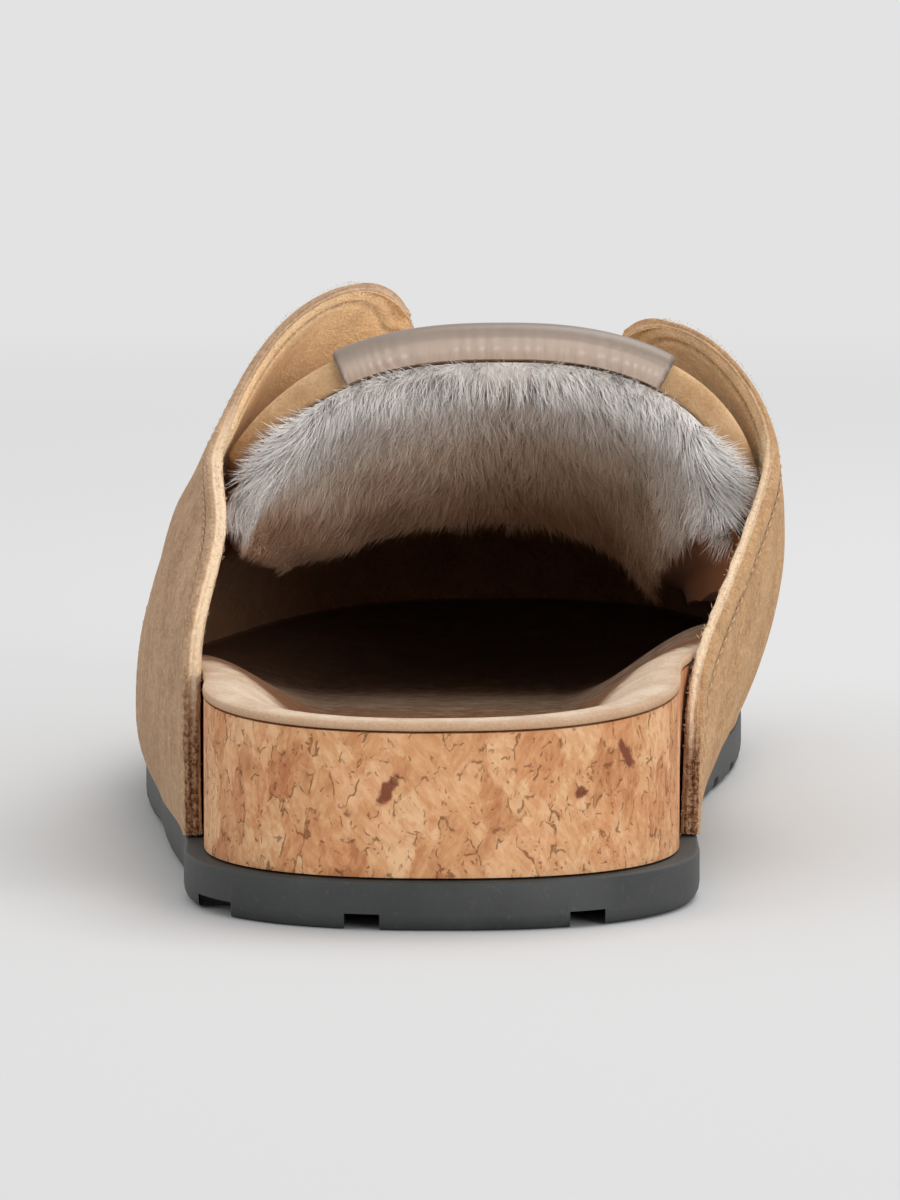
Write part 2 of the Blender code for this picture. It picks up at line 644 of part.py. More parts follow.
def main():
    """Clear the scene, build every piece and set the frame."""
    for leftover in list(bpy.data.objects):
        bpy.data.objects.remove(leftover)
    pieces = build_outsole() + build_footbed() + build_insole()
    pieces += build_upper() + build_tongue() + build_fur() + build_band()
    frame = bpy.data.objects.new("shoe_frame", None)
    bpy.context.scene.collection.objects.link(frame)
    for piece in pieces:
        piece.parent = frame
    frame.location = (-SIDE_MIDDLE * MM, -LENGTH / 2.0 * MM, 0.0)


main()
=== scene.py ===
"""Looks of a left backless mule: rubber outsole, cork footbed, suede upper with standing ears, fur-lined tongue.

Shapes are worked out in millimetres on the shoe's own axes, as its solids are: y runs from the back of the heel (0)
to the toe, x is negative on the lateral side and the floor is at z = 0. MeshPlan.build moves them to the row frame.
Across the last, a runs from -1 at the lateral lower edge, over the crest at 0, to 1 at the medial lower edge, and
climb is 1 - |a|.
"""

import logging
import math
from dataclasses import dataclass, field
from enum import Enum
from typing import Any, Callable, NamedTuple

import bmesh
import bpy
import numpy as np
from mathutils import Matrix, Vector


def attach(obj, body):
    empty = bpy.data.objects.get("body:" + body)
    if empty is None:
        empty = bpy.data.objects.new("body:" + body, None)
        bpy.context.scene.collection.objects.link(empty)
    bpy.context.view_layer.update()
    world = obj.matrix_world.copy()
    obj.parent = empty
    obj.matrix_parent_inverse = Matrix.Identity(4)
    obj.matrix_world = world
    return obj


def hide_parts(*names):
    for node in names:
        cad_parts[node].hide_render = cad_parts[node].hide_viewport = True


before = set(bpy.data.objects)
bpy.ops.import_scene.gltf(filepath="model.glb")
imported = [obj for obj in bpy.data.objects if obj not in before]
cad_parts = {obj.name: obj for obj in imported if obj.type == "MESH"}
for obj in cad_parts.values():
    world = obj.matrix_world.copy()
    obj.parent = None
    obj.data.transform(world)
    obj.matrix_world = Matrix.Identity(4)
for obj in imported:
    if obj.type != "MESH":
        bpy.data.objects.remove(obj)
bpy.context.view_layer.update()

Array = np.ndarray
Form = Callable[[Array, Array], Array]
Pair = tuple[float, float]
Triple = tuple[float, float, float]
Colour = Triple

LOG = logging.getLogger("mule")
BODY = "root"
MM = 0.001
ROW_ORIGIN = np.array([0.7, 132.0, 0.0])
QUARTER_TURN = math.pi / 2.0
TINY = 1e-9
SMOOTH_ANGLE = math.radians(42.0)
WELD = 1e-7


class Side(Enum):
    """The two sides of the shoe."""

    LATERAL = -1.0
    MEDIAL = 1.0

    def of(self, pair: tuple[Any, Any]) -> Any:
        """This side's member of a lateral and a medial one."""
        return pair[self is Side.MEDIAL]


def srgb(red: float, green: float, blue: float) -> Colour:
    """Linear colour of an 8-bit screen colour.

    Args:
        red: share of red, of 255.
        green: share of green.
        blue: share of blue.

    Returns:
        The colour's three shares.
    """
    share = np.array([red, green, blue]) / 255.0
    linear = np.where(share <= 0.04045, share / 12.92, ((share + 0.055) / 1.055) ** 2.4)
    return tuple(float(v) for v in linear)


def ease(t: Array | float) -> Array:
    """Smooth step from 0 to 1: 3t² - 2t³."""
    t = np.clip(t, 0.0, 1.0)
    return t * t * (3.0 - 2.0 * t)


def closing(distance: Array, power: float) -> Array:
    """Quarter of a superellipse: 1 with no slope at distance 0, and 0 at distance 1."""
    return (1.0 - np.clip(distance, 0.0, 1.0) ** power) ** (1.0 / power)


def hump(distance: Array) -> Array:
    """Bell curve: 1 at distance 0, about a third at distance 1."""
    return np.exp(-(distance**2))


def climb_at(a: Array) -> Array:
    """Share of the way up the last: 0 at its lower edges, 1 at its crest."""
    return 1.0 - np.abs(a)


class Span(NamedTuple):
    """A stretch over which something comes in or goes smoothly: its start and its length."""

    start: float
    size: float

    def up(self, at: Array) -> Array:
        """Rises from 0 at the start to 1 a stretch after it."""
        return ease((at - self.start) / self.size)

    def down(self, at: Array) -> Array:
        """Falls from 1 a stretch before the start to 0 at it."""
        return ease((self.start - at) / self.size)


def waves(first: Array, second: Array) -> Array:
    """Product of two sine waves, which never repeats closely."""
    return np.sin(first) * np.sin(second)


def through(keys: Array, values: Array, at: Array) -> Array:
    """Smooth curve through a table: cubic pieces whose slopes are the mean slopes at the keys.

    Args:
        keys: rising places of the table's rows.
        values: values of one column at those places.
        at: places to read.

    Returns:
        The curve's values, held level outside the table.
    """
    slopes = np.gradient(values, keys)
    at = np.clip(at, keys[0], keys[-1])
    i = np.clip(np.searchsorted(keys, at, side="right") - 1, 0, len(keys) - 2)
    step, rise = keys[i + 1] - keys[i], values[i + 1] - values[i]
    t = (at - keys[i]) / step
    turn = (1.0 - t) * (slopes[i] * step - rise) - t * (slopes[i + 1] * step - rise)
    return values[i] + rise * t + t * (1.0 - t) * turn


def bend(at: Array, start: float, low: float, low_slope: float, end: float, high: float, high_slope: float) -> Array:
    """Cubic from one place, value and slope to another.

    Args:
        at: places to read.
        start: first place.
        low: value there.
        low_slope: slope there.
        end: last place.
        high: value there.
        high_slope: slope there.

    Returns:
        The curve's values, held level outside the two places.
    """
    t = np.clip((at - start) / (end - start), 0.0, 1.0)
    rise, step = high - low, end - start
    turn = (1.0 - t) * (low_slope * step - rise) - t * (high_slope * step - rise)
    return low + rise * t + t * (1.0 - t) * turn


def unit(vectors: Array) -> Array:
    """Vectors scaled to length 1."""
    return vectors / np.maximum(np.linalg.norm(vectors, axis=-1, keepdims=True), 1e-12)


def grid_quads(rows: int, columns: int) -> Array:
    """Quads of a grid whose points run row by row."""
    i = np.arange(rows - 1)[:, None] * columns + np.arange(columns - 1)[None, :]
    return np.stack([i, i + 1, i + columns + 1, i + columns], axis=-1).reshape(-1, 4)


def packed_steps(edge: float, edge_count: int, middle_count: int) -> Array:
    """Steps from 0 to 1 that lie closer together within a share of each end.

    Args:
        edge: the share at each end.
        edge_count: number of steps in it.
        middle_count: number of steps between.

    Returns:
        The steps in a row.
    """
    low = np.linspace(0.0, edge, edge_count, endpoint=False)
    middle = np.linspace(edge, 1.0 - edge, middle_count, endpoint=False)
    return np.concatenate([low, middle, np.linspace(1.0 - edge, 1.0, edge_count)])


def even_path(points: Array, pitch: float, *along: Array) -> list[Array]:
    """Reads values along a path at places of equal spacing.

    Args:
        points: the path, in rows.
        pitch: spacing along it.
        along: values at the path's rows.

    Returns:
        Each set of values at the new places.
    """
    run = np.concatenate([[0.0], np.cumsum(np.linalg.norm(np.diff(points, axis=0), axis=1))])
    at = np.arange(0.5 * pitch, run[-1], pitch)
    return [np.interp(at, run, values) for values in along]


@dataclass
class MeshPlan:
    """Points, faces and point values of a piece, before it is a mesh."""

    points: Array
    faces: list[Array]
    values: dict[str, Array] = field(default_factory=dict)

    def build(self, name: str, finish: "Finish", slot: str, *nodes: str) -> bpy.types.Object:
        """Makes the piece, dresses it and ties it to the frame.

        Args:
            name: the piece's name.
            finish: what it is made of.
            slot: the record's material slot, passed on to dress, which does not use it.
            nodes: CAD nodes that it stands for.

        Returns:
            The object, at the origin.
        """
        mesh = bpy.data.meshes.new(name)
        mesh.vertices.add(len(self.points))
        mesh.vertices.foreach_set("co", ((self.points - ROW_ORIGIN) * MM).astype(np.float32).ravel())
        sizes = np.concatenate([np.full(len(f), f.shape[1]) for f in self.faces])
        corners = np.concatenate([f.ravel() for f in self.faces]).astype(np.int32)
        mesh.loops.add(len(corners))
        mesh.loops.foreach_set("vertex_index", corners)
        mesh.polygons.add(len(sizes))
        mesh.polygons.foreach_set("loop_start", (np.cumsum(sizes) - sizes).astype(np.int32))
        for label, values in self.values.items():
            mesh.attributes.new(label, "FLOAT", "POINT").data.foreach_set("value", values.astype(np.float32))
        mesh.update(calc_edges=True)
        mesh.validate()
        return dress(name, welded(mesh), finish, slot, *nodes)


def welded(mesh: bpy.types.Mesh) -> bpy.types.Mesh:
    """Joins points that lie on each other, so that poles and seams are closed.

    Args:
        mesh: the mesh, which is changed.

    Returns:
        The same mesh.
    """
    shape = bmesh.new()
    shape.from_mesh(mesh)
    bmesh.ops.remove_doubles(shape, verts=shape.verts, dist=WELD)
    shape.to_mesh(mesh)
    shape.free()
    return mesh


def smoothed(mesh: bpy.types.Mesh) -> bpy.types.Mesh:
    """Shades a mesh smooth, except over its sharp edges.

    Args:
        mesh: the mesh, which is changed.

    Returns:
        The same mesh.
    """
    mesh.shade_smooth()
    mesh.set_sharp_from_angle(angle=SMOOTH_ANGLE)
    return mesh


def dress(name: str, mesh: bpy.types.Mesh, finish: "Finish", slot: str, *nodes: str) -> bpy.types.Object:
    """Puts a mesh into the scene with its finish, rides it on the shoe and hides the CAD nodes that it stands for.

    Args:
        name: the piece's name.
        mesh: its mesh.
        finish: what it is made of.
        slot: the record's material slot; not used.
        nodes: CAD nodes that it stands for.

    Returns:
        The object, at the origin.
    """
    smoothed(mesh).materials.append(finish.material())
    piece = bpy.data.objects.new(name, mesh)
    bpy.context.scene.collection.objects.link(piece)
    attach(piece, BODY)
    if nodes:
        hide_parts(*nodes)
    LOG.info("%s: %d faces", name, len(mesh.polygons))
    return piece


def closed_wall(levels: list[Array], quads: Array, values: dict[str, list[Array]] | None = None) -> MeshPlan:
    """Closes the wall between a first and a last level of grid points.

    The first level keeps the quads as they are, the last one has them turned round, and the levels between give
    only the points of the strips along the quads' open edges.

    Args:
        levels: grids of points of one shape.
        quads: faces of the first level.
        values: for each named value, a grid for each level.

    Returns:
        A closed mesh.
    """
    points = np.concatenate([level.reshape(-1, 3) for level in levels])
    size = len(points) // len(levels)
    edges = np.concatenate([quads[:, [k, (k + 1) % 4]] for k in range(4)])
    _, first, count = np.unique(np.sort(edges, axis=1), axis=0, return_index=True, return_counts=True)
    rim = edges[first[count == 1]]
    shift = size * np.arange(len(levels) - 1)[:, None]
    a, b = rim[:, 0] + shift, rim[:, 1] + shift
    sides = np.stack([b, a, a + size, b + size], axis=-1).reshape(-1, 4)
    faces = np.concatenate([quads, quads[:, ::-1] + size * (len(levels) - 1), sides])
    used, index = np.unique(faces, return_inverse=True)
    kept = {k: np.concatenate([grid.ravel() for grid in v])[used] for k, v in (values or {}).items()}
    return MeshPlan(points[used], [index.reshape(-1, 4)], kept)


def spikes(roots: Array, middles: Array, tips: Array, radius: Array, values: dict[str, Array]) -> MeshPlan:
    """Bent hairs as closed three-sided spikes: a ring at the root, a thinner one at the middle, and a point.

    Args:
        roots: root points, a row for each hair.
        middles: points that the hairs bend through.
        tips: end points.
        radius: radius at the root.
        values: values of each hair.

    Returns:
        All hairs as one mesh, which also has the value tip, 0 at the root and 1 at the point.
    """
    count, waist, middle_tip = len(roots), 0.72, 0.55
    axis = unit(tips - roots)
    side = unit(np.cross(axis, np.where(np.abs(axis[:, 2:]) > 0.8, [[1.0, 0.0, 0.0]], [[0.0, 0.0, 1.0]])))
    turn = np.arange(3) * (2.0 * math.pi / 3.0)
    spoke = np.cos(turn)[:, None] * side[:, None] + np.sin(turn)[:, None] * np.cross(axis, side)[:, None]
    reach = radius[:, None, None] * spoke
    points = np.concatenate([roots[:, None] + reach, middles[:, None] + waist * reach, tips[:, None]], axis=1)
    each = points.shape[1]
    first = each * np.arange(count)[:, None, None]
    quads = np.array([[0, 1, 4, 3], [1, 2, 5, 4], [2, 0, 3, 5]]) + first
    triangles = np.array([[3, 4, 6], [4, 5, 6], [5, 3, 6], [0, 2, 1]]) + first
    spread = {name: np.repeat(v, each) for name, v in values.items()}
    spread["tip"] = np.tile([0.0] * 3 + [middle_tip] * 3 + [1.0], count)
    return MeshPlan(points.reshape(-1, 3), [quads.reshape(-1, 4), triangles.reshape(-1, 3)], spread)


def joined(plans: list[MeshPlan]) -> MeshPlan:
    """Points and faces of several plans of one kind in one, without their values.

    Args:
        plans: plans with faces of the same sorts.

    Returns:
        The plan of all.
    """
    shift = np.cumsum([0, *(len(p.points) for p in plans[:-1])])
    faces = [np.concatenate([f + s for f, s in zip(sort, shift)]) for sort in zip(*(p.faces for p in plans))]
    return MeshPlan(np.concatenate([p.points for p in plans]), faces)


class Outline(NamedTuple):
    """Half outline of the sole: places along the length, half widths there and powers of its round ends."""

    heel_y: float
    heel: float
    waist_y: float
    waist: float
    waist_slope: float
    ball_y: float
    ball: float
    heel_power: float
    toe_power: float


class Section(NamedTuple):
    """Sizes of the last's section on one side, from its crest and from the outsole."""

    foot: Array
    reach: Array
    wide: Array
    crest: Array
    shift: Array
    power: Array

    def wall(self, low: Array) -> Array:
        """Distance out at a share of the wall's height: it flares from the foot and ends upright."""
        return self.reach - (self.reach - self.foot) * (1.0 - low) ** 2


@dataclass(frozen=True)
class Last:
    """The form that the shoe is made on, and the outsole's top and bottom under it."""

    length: float = 264.0
    gap: float = 0.3
    wall: float = 2.0
    sole_edge: float = 0.4
    toe_swing: float = 7.0
    swing_start: float = 130.0
    sole_thick: float = 6.8
    toe_spring: float = 8.0
    spring_start: float = 186.0
    arch_rise: float = 1.0
    arch_span: Pair = (72.0, 124.0)
    toe_close_start: float = 205.0
    toe_close_power: float = 2.7
    arc_share: float = 0.8
    close_rows: Pair = (40.0, 190.0)
    probe: Pair = (0.2, 0.004)
    toe_trim: Pair = (0.01, 0.05)
    outlines: tuple[Outline, Outline] = (
        Outline(38.0, 36.2, 88.0, 41.8, 0.10, 162.0, 48.5, 2.3, 2.35),
        Outline(38.0, 36.0, 95.0, 36.0, 0.0, 186.0, 44.0, 2.3, 2.6),
    )
    columns: tuple[str, ...] = (
        "y", "lateral_flare", "medial_flare", "lateral_wide", "medial_wide",
        "lateral_power", "medial_power", "crest_rise", "crest_shift",
    )
    rows: tuple[tuple[float, ...], ...] = (
        (40.0, 0.0, 0.0, 10.0, 22.0, 2.6, 2.3, 78.0, 4.0),
        (52.0, 0.3, 1.0, 10.0, 26.0, 2.6, 2.3, 77.5, 5.0),
        (66.0, 0.6, 5.5, 10.0, 33.0, 2.6, 2.3, 76.0, 6.5),
        (80.0, 0.8, 10.0, 10.0, 38.0, 2.6, 2.3, 74.0, 8.0),
        (93.0, 1.0, 13.5, 10.0, 41.0, 2.6, 2.3, 71.8, 9.0),
        (118.0, 1.3, 10.0, 9.0, 33.0, 2.3, 2.3, 66.0, 9.0),
        (145.0, 1.6, 4.5, 9.0, 18.0, 2.0, 2.25, 55.5, 7.5),
        (172.0, 1.5, 2.0, 9.0, 12.0, 2.05, 2.2, 47.0, 5.0),
        (205.0, 1.2, 1.4, 10.0, 11.0, 2.2, 2.2, 41.0, 2.5),
        (264.0, 0.8, 0.8, 11.0, 11.0, 2.4, 2.4, 33.0, 0.0),
    )

    def long_axis(self, y: Array) -> Array:
        """Middle line of the plan, which leans to the medial side at the toe."""
        return self.toe_swing * ease((y - self.swing_start) / (self.length - self.swing_start))

    def half_width(self, y: Array, side: Side, inset: float, heel_inset: float | None = None) -> Array:
        """Half width of the plan outline: superellipses at heel and toe, cubics between.

        Args:
            y: places along the length.
            side: which half.
            inset: how far the outline is moved in.
            heel_inset: another inset for the back of the heel.

        Returns:
            Distances from the long axis.
        """
        o = side.of(self.outlines)
        back = inset if heel_inset is None else heel_inset
        heel = closing((o.heel_y - y) / (o.heel_y - back), o.heel_power) * (o.heel - inset)
        toe = closing((y - o.ball_y) / (self.length - inset - o.ball_y), o.toe_power) * (o.ball - inset)
        rear = bend(y, o.heel_y, o.heel, 0.0, o.waist_y, o.waist, o.waist_slope) - inset
        front = bend(y, o.waist_y, o.waist, o.waist_slope, o.ball_y, o.ball, 0.0) - inset
        middle = np.where(y < o.waist_y, rear, front)
        return np.where(y < o.heel_y, heel, np.where(y > o.ball_y, toe, middle))

    def plan_x(self, y: Array, q: Array, inset: float, heel_inset: float | None = None) -> Array:
        """Place across the outline for a share q from its lateral (-1) to its medial (1) edge."""
        halves = [self.half_width(y, side, inset, heel_inset) for side in Side]
        return self.long_axis(y) + q * np.where(q < 0.0, *halves)

    def spring(self, y: Array) -> Array:
        """Rise of the sole towards the toe."""
        share = np.clip((y - self.spring_start) / (self.length - self.spring_start), 0.0, 1.0)
        return self.toe_spring * share**2

    def sole_bottom(self, y: Array) -> Array:
        """Underside of the outsole: flat at heel and ball, relieved at the waist, sprung at the toe.

        Args:
            y: places along the length.

        Returns:
            Heights.
        """
        start, end = self.arch_span
        waist = np.clip((y - start) / (end - start), 0.0, 1.0)
        return self.arch_rise * np.sin(math.pi * waist) ** 2 + self.spring(y)

    def sole_top(self, y: Array) -> Array:
        """Upper face of the outsole."""
        return self.sole_thick + self.spring(y)

    def section(self, y: Array, lateral: Array) -> Section:
        """Sizes of the section at places along the length, for the side that each place is on.

        Args:
            y: places along the length.
            lateral: true for places on the lateral side.

        Returns:
            The sizes at each place.
        """
        closed = self.length - self.sole_edge
        shut = closing((y - self.toe_close_start) / (closed - self.toe_close_start), self.toe_close_power)
        table = np.array(self.rows)
        form = {name: through(table[:, 0], table[:, i], y) for i, name in enumerate(self.columns) if i}
        half = np.where(lateral, *(self.half_width(y, side, self.sole_edge) for side in Side))
        flare, wide, power = (
            np.where(lateral, form["lateral_" + size], form["medial_" + size]) for size in ("flare", "wide", "power")
        )
        shift = form["crest_shift"] * shut
        foot = half + np.where(lateral, shift, -shift)
        return Section(foot, foot + flare * shut, wide * shut, form["crest_rise"] * shut, shift, power)

    def point(self, y: Array, a: Array) -> Array:
        """Point on the last: a wall that flares up to its widest place, then a superellipse over to the crest.

        Args:
            y: places along the length.
            a: places across the last.

        Returns:
            Points.
        """
        y, a = np.broadcast_arrays(np.asarray(y, float), np.asarray(a, float))
        lateral = a < 0.0
        s = self.section(y, lateral)
        lower = s.wide / np.maximum(s.wide + self.arc_share * (s.reach + s.crest - s.wide), TINY)
        climb = climb_at(a)
        low = np.clip(climb / np.maximum(lower, TINY), 0.0, 1.0)
        angle = np.clip((climb - lower) / (1.0 - lower), 0.0, 1.0) * QUARTER_TURN
        wall = climb < lower
        out = np.where(wall, s.wall(low), s.reach * np.maximum(np.cos(angle), 0.0) ** (2.0 / s.power))
        rise = np.where(wall, s.wide * low, s.wide + (s.crest - s.wide) * np.sin(angle) ** (2.0 / s.power))
        x = self.long_axis(y) + s.shift + np.where(lateral, -out, out)
        return np.stack([x, y, self.sole_top(y) + self.gap + rise], axis=-1)

    def wall_lean(self, y: Array, lateral: Array, rise: Array) -> Array:
        """How far the last's side at a height stands out from its foot on the outsole.

        Args:
            y: places along the length.
            lateral: true for places on the lateral side.
            rise: heights over the outsole.

        Returns:
            Distances.
        """
        s = self.section(y, lateral)
        low = np.clip(rise / np.maximum(s.wide, TINY), 0.0, 1.0)
        high = np.clip((rise - s.wide) / np.maximum(s.crest - s.wide, TINY), 0.0, 1.0)
        over = s.reach * (1.0 - high**s.power) ** (1.0 / s.power)
        return np.where(rise < s.wide, s.wall(low), over) - s.foot

    def normal(self, form: Form, y: Array, a: Array) -> Array:
        """Outward unit normal of a form on this last, from small steps along and across it.

        Args:
            form: the form.
            y: places along the length.
            a: places across the last.

        Returns:
            Directions.
        """
        short, hold = self.toe_trim
        end = self.length - self.sole_edge - short
        y, a = np.broadcast_arrays(np.minimum(y, end - hold), np.asarray(a, float))
        step_y, step_a = self.probe
        ahead = np.minimum(y + step_y, end)
        along = form(ahead, a) - form(ahead - 2.0 * step_y, a)
        across = form(y, np.minimum(a + step_a, 1.0)) - form(y, np.maximum(a - step_a, -1.0))
        return unit(np.cross(across, along))

    def sunk(self, form: Form, y: Array, a: Array, depth: Array) -> Array:
        """Points of a form moved in along its normal."""
        return form(y, a) - np.asarray(depth)[..., None] * self.normal(form, y, a)

    def under(self, y: Array, a: Array, depth: Array) -> Array:
        """Points at a depth under the last's own surface."""
        return self.sunk(self.point, y, a, depth)

    def stations(self, start: float, end: float, heel: int, middle: int, toe: int) -> Array:
        """Places along the length, closer together at the heel and toe.

        Args:
            start: first place.
            end: last place.
            heel: number of places at the heel.
            middle: number of places between.
            toe: number of places at the toe.

        Returns:
            The places in a row.
        """
        first, last = self.close_rows
        back = start + (first - start) * (1.0 - np.cos(np.linspace(0.0, QUARTER_TURN, heel, endpoint=False)))
        front = last + (end - last) * np.sin(np.linspace(0.0, QUARTER_TURN, toe))
        return np.concatenate([back, np.linspace(first, last, middle, endpoint=False), front])


class Socket:
    """A shader socket in an expression: each operator adds a Math node."""

    def __init__(self, graph: "Graph", socket: bpy.types.NodeSocket) -> None:
        """Wraps a socket of a graph."""
        self.graph = graph
        self.socket = socket

    def __add__(self, other: "Socket | float") -> "Socket":
        """Sum."""
        return self.graph.math("ADD", self, other)

    __radd__ = __add__

    def __mul__(self, other: "Socket | float") -> "Socket":
        """Product."""
        return self.graph.math("MULTIPLY", self, other)

    __rmul__ = __mul__

    def __sub__(self, other: "Socket | float") -> "Socket":
        """Difference."""
        return self.graph.math("SUBTRACT", self, other)

    def __rsub__(self, other: float) -> "Socket":
        """Difference from a number."""
        return self.graph.math("SUBTRACT", other, self)

    def __gt__(self, other: "Socket | float") -> "Socket":
        """1 where this is greater, else 0."""
        return self.graph.math("GREATER_THAN", self, other)


class Grain(NamedTuple):
    """A noise: patch size in millimetres, detail, roughness, and the values that become 0 and 1."""

    size: float
    detail: float = 3.0
    rough: float = 0.55
    low: float = 0.3
    high: float = 0.7


class Graph:
    """Nodes of one material."""

    def __init__(self, material: bpy.types.Material) -> None:
        """Opens a material's nodes."""
        self.tree = material.node_tree
        self.shader = self.tree.nodes["Principled BSDF"]

    def node(self, kind: str, settings: dict[str, Any], inputs: dict[str | int, Any], output: str | int = 0) -> Socket:
        """Adds a node.

        Args:
            kind: Blender's type of node, without its first word ShaderNode.
            settings: the node's own values, set first; stops are a colour ramp's places and colours.
            inputs: values or links of its sockets.
            output: the socket to go on with.

        Returns:
            That output.
        """
        made = self.tree.nodes.new("ShaderNode" + kind)
        for name, value in settings.items():
            if name == "stops":
                for spare in list(made.color_ramp.elements)[1:]:
                    made.color_ramp.elements.remove(spare)
                for i, (place, colour) in enumerate(value):
                    stop = made.color_ramp.elements[0] if i == 0 else made.color_ramp.elements.new(place)
                    stop.position, stop.color = place, (*colour, 1.0)
            else:
                setattr(made, name, value)
        for key, value in inputs.items():
            self.feed(made.inputs[key], value)
        return Socket(self, made.outputs[output])

    def feed(self, socket: bpy.types.NodeSocket, value: Any) -> None:
        """Links or sets a socket.

        Args:
            socket: the input.
            value: another node's output, a colour or a plain value.
        """
        if isinstance(value, Socket):
            self.tree.links.new(value.socket, socket)
        elif isinstance(value, tuple) and len(value) == 3 and socket.type == "RGBA":
            socket.default_value = (*value, 1.0)
        else:
            socket.default_value = value

    def surface(self, **values: Any) -> None:
        """Sets or links the shader's own sockets, with _ for a space in their names."""
        for name, value in values.items():
            self.feed(self.shader.inputs[name.replace("_", " ")], value)

    def math(self, operation: str, first: Any, second: Any) -> Socket:
        """A Math node."""
        return self.node("Math", {"operation": operation}, {0: first, 1: second})

    def vector(self, operation: str, inputs: dict[str | int, Any], output: str = "Vector") -> Socket:
        """A Vector Math node."""
        return self.node("VectorMath", {"operation": operation}, inputs, output)

    def value(self, name: str) -> Socket:
        """A point value of the piece."""
        return self.node("Attribute", {"attribute_name": name}, {}, "Fac")

    def metres(self) -> Socket:
        """Object coordinates."""
        return self.node("TexCoord", {}, {}, "Object")

    def place(self, scale: Colour = (1.0, 1.0, 1.0), turn: Colour = (0.0, 0.0, 0.0)) -> Socket:
        """Object coordinates in millimetres, turned and then stretched by the scales."""
        turned = self.node("Mapping", {}, {"Vector": self.metres(), "Rotation": turn})
        return self.node("Mapping", {}, {"Vector": turned, "Scale": tuple(s / MM for s in scale)})

    def axis(self, at: Socket, name: str) -> Socket:
        """One of three coordinates."""
        return self.node("SeparateXYZ", {}, {0: at}, name)

    def channel(self, colour: Socket, name: str = "Red") -> Socket:
        """One channel of a colour."""
        return self.node("SeparateColor", {}, {0: colour}, name)

    def noise(self, at: Socket, size: float, detail: float = 3.0, rough: float = 0.55) -> Socket:
        """Cloudy noise with patches of about the given size in millimetres."""
        inputs = {"Vector": at, "Scale": 1.0 / size, "Detail": detail, "Roughness": rough}
        return self.node("TexNoise", {}, inputs, "Fac")

    def grain(self, at: Socket, look: Grain) -> Socket:
        """Noise with its middle range stretched from 0 to 1."""
        return self.step(self.noise(at, look.size, look.detail, look.rough), look.low, look.high)

    def cells(self, at: Socket, size: float, feature: str = "F1", output: str = "Distance", **more: float) -> Socket:
        """Voronoi cells of about the given size in millimetres."""
        inputs = {"Vector": at, "Scale": 1.0 / size} | more
        return self.node("TexVoronoi", {"feature": feature}, inputs, output)

    def warped(self, at: Socket, size: float, reach: float) -> Socket:
        """Coordinates pushed about by noise of a size, by up to a reach.

        Args:
            at: the coordinates.
            size: size of the noise in millimetres.
            reach: the longest push.

        Returns:
            The new coordinates.
        """
        push = self.node("TexNoise", {}, {"Vector": at, "Scale": 1.0 / size, "Detail": 2.0}, "Color")
        middle = self.vector("SUBTRACT", {0: push, 1: (0.5, 0.5, 0.5)})
        return self.vector("ADD", {0: at, 1: self.vector("SCALE", {0: middle, "Scale": 2.0 * reach})})

    def step(self, value: Socket, low: float, high: float) -> Socket:
        """Smooth step from 0 at low to 1 at high."""
        inputs = {"Value": value, "From Min": low, "From Max": high}
        return self.node("MapRange", {"interpolation_type": "SMOOTHSTEP"}, inputs, "Result")

    def blend(self, weights: tuple[float, ...], *layers: Socket) -> Socket:
        """Sum of layers by their weights.

        Args:
            weights: factors of the layers.
            layers: the layers.

        Returns:
            The sum.
        """
        total = layers[0] * weights[0]
        for layer, weight in zip(layers[1:], weights[1:]):
            total = total + layer * weight
        return total

    def most(self, *values: Socket) -> Socket:
        """Largest of some values.

        Args:
            values: the values.

        Returns:
            The largest.
        """
        top = values[0]
        for value in values[1:]:
            top = self.math("MAXIMUM", top, value)
        return top

    def ramp(self, value: Socket, *stops: tuple[float, Colour]) -> Socket:
        """Colour ramp."""
        return self.node("ValToRGB", {"stops": stops}, {0: value})

    def greys(self, value: Socket, *stops: Pair) -> Socket:
        """Ramp of greys."""
        return self.ramp(value, *((place, (tone,) * 3) for place, tone in stops))

    def mix(self, share: Any, first: Any, second: Any, blend: str = "MIX") -> Socket:
        """Mix of two colours."""
        settings = {"data_type": "RGBA", "blend_type": blend}
        return self.node("Mix", settings, {0: share, 6: first, 7: second}, 2)

    def times(self, first: Any, second: Any) -> Socket:
        """Product of two colours."""
        return self.mix(1.0, first, second, "MULTIPLY")

    def bump(self, height: Socket, strength: float, distance: float, under: Socket | None = None) -> Socket:
        """Bump of a height, with its distance in millimetres, over another bump."""
        inputs = {"Height": height, "Strength": strength, "Distance": distance * MM}
        return self.node("Bump", {}, inputs | ({"Normal": under} if under else {}))


@dataclass(frozen=True)
class Finish:
    """A material of the shoe."""

    name: str

    def material(self) -> bpy.types.Material:
        """The finish as a material, made once.

        Returns:
            The material.
        """
        found = bpy.data.materials.get(self.name)
        if found:
            return found
        made = bpy.data.materials.new(self.name)
        made.use_nodes = True
        self.shade(Graph(made))
        return made

    def shade(self, graph: Graph) -> None:
        """Draws the finish with nodes."""
        raise NotImplementedError


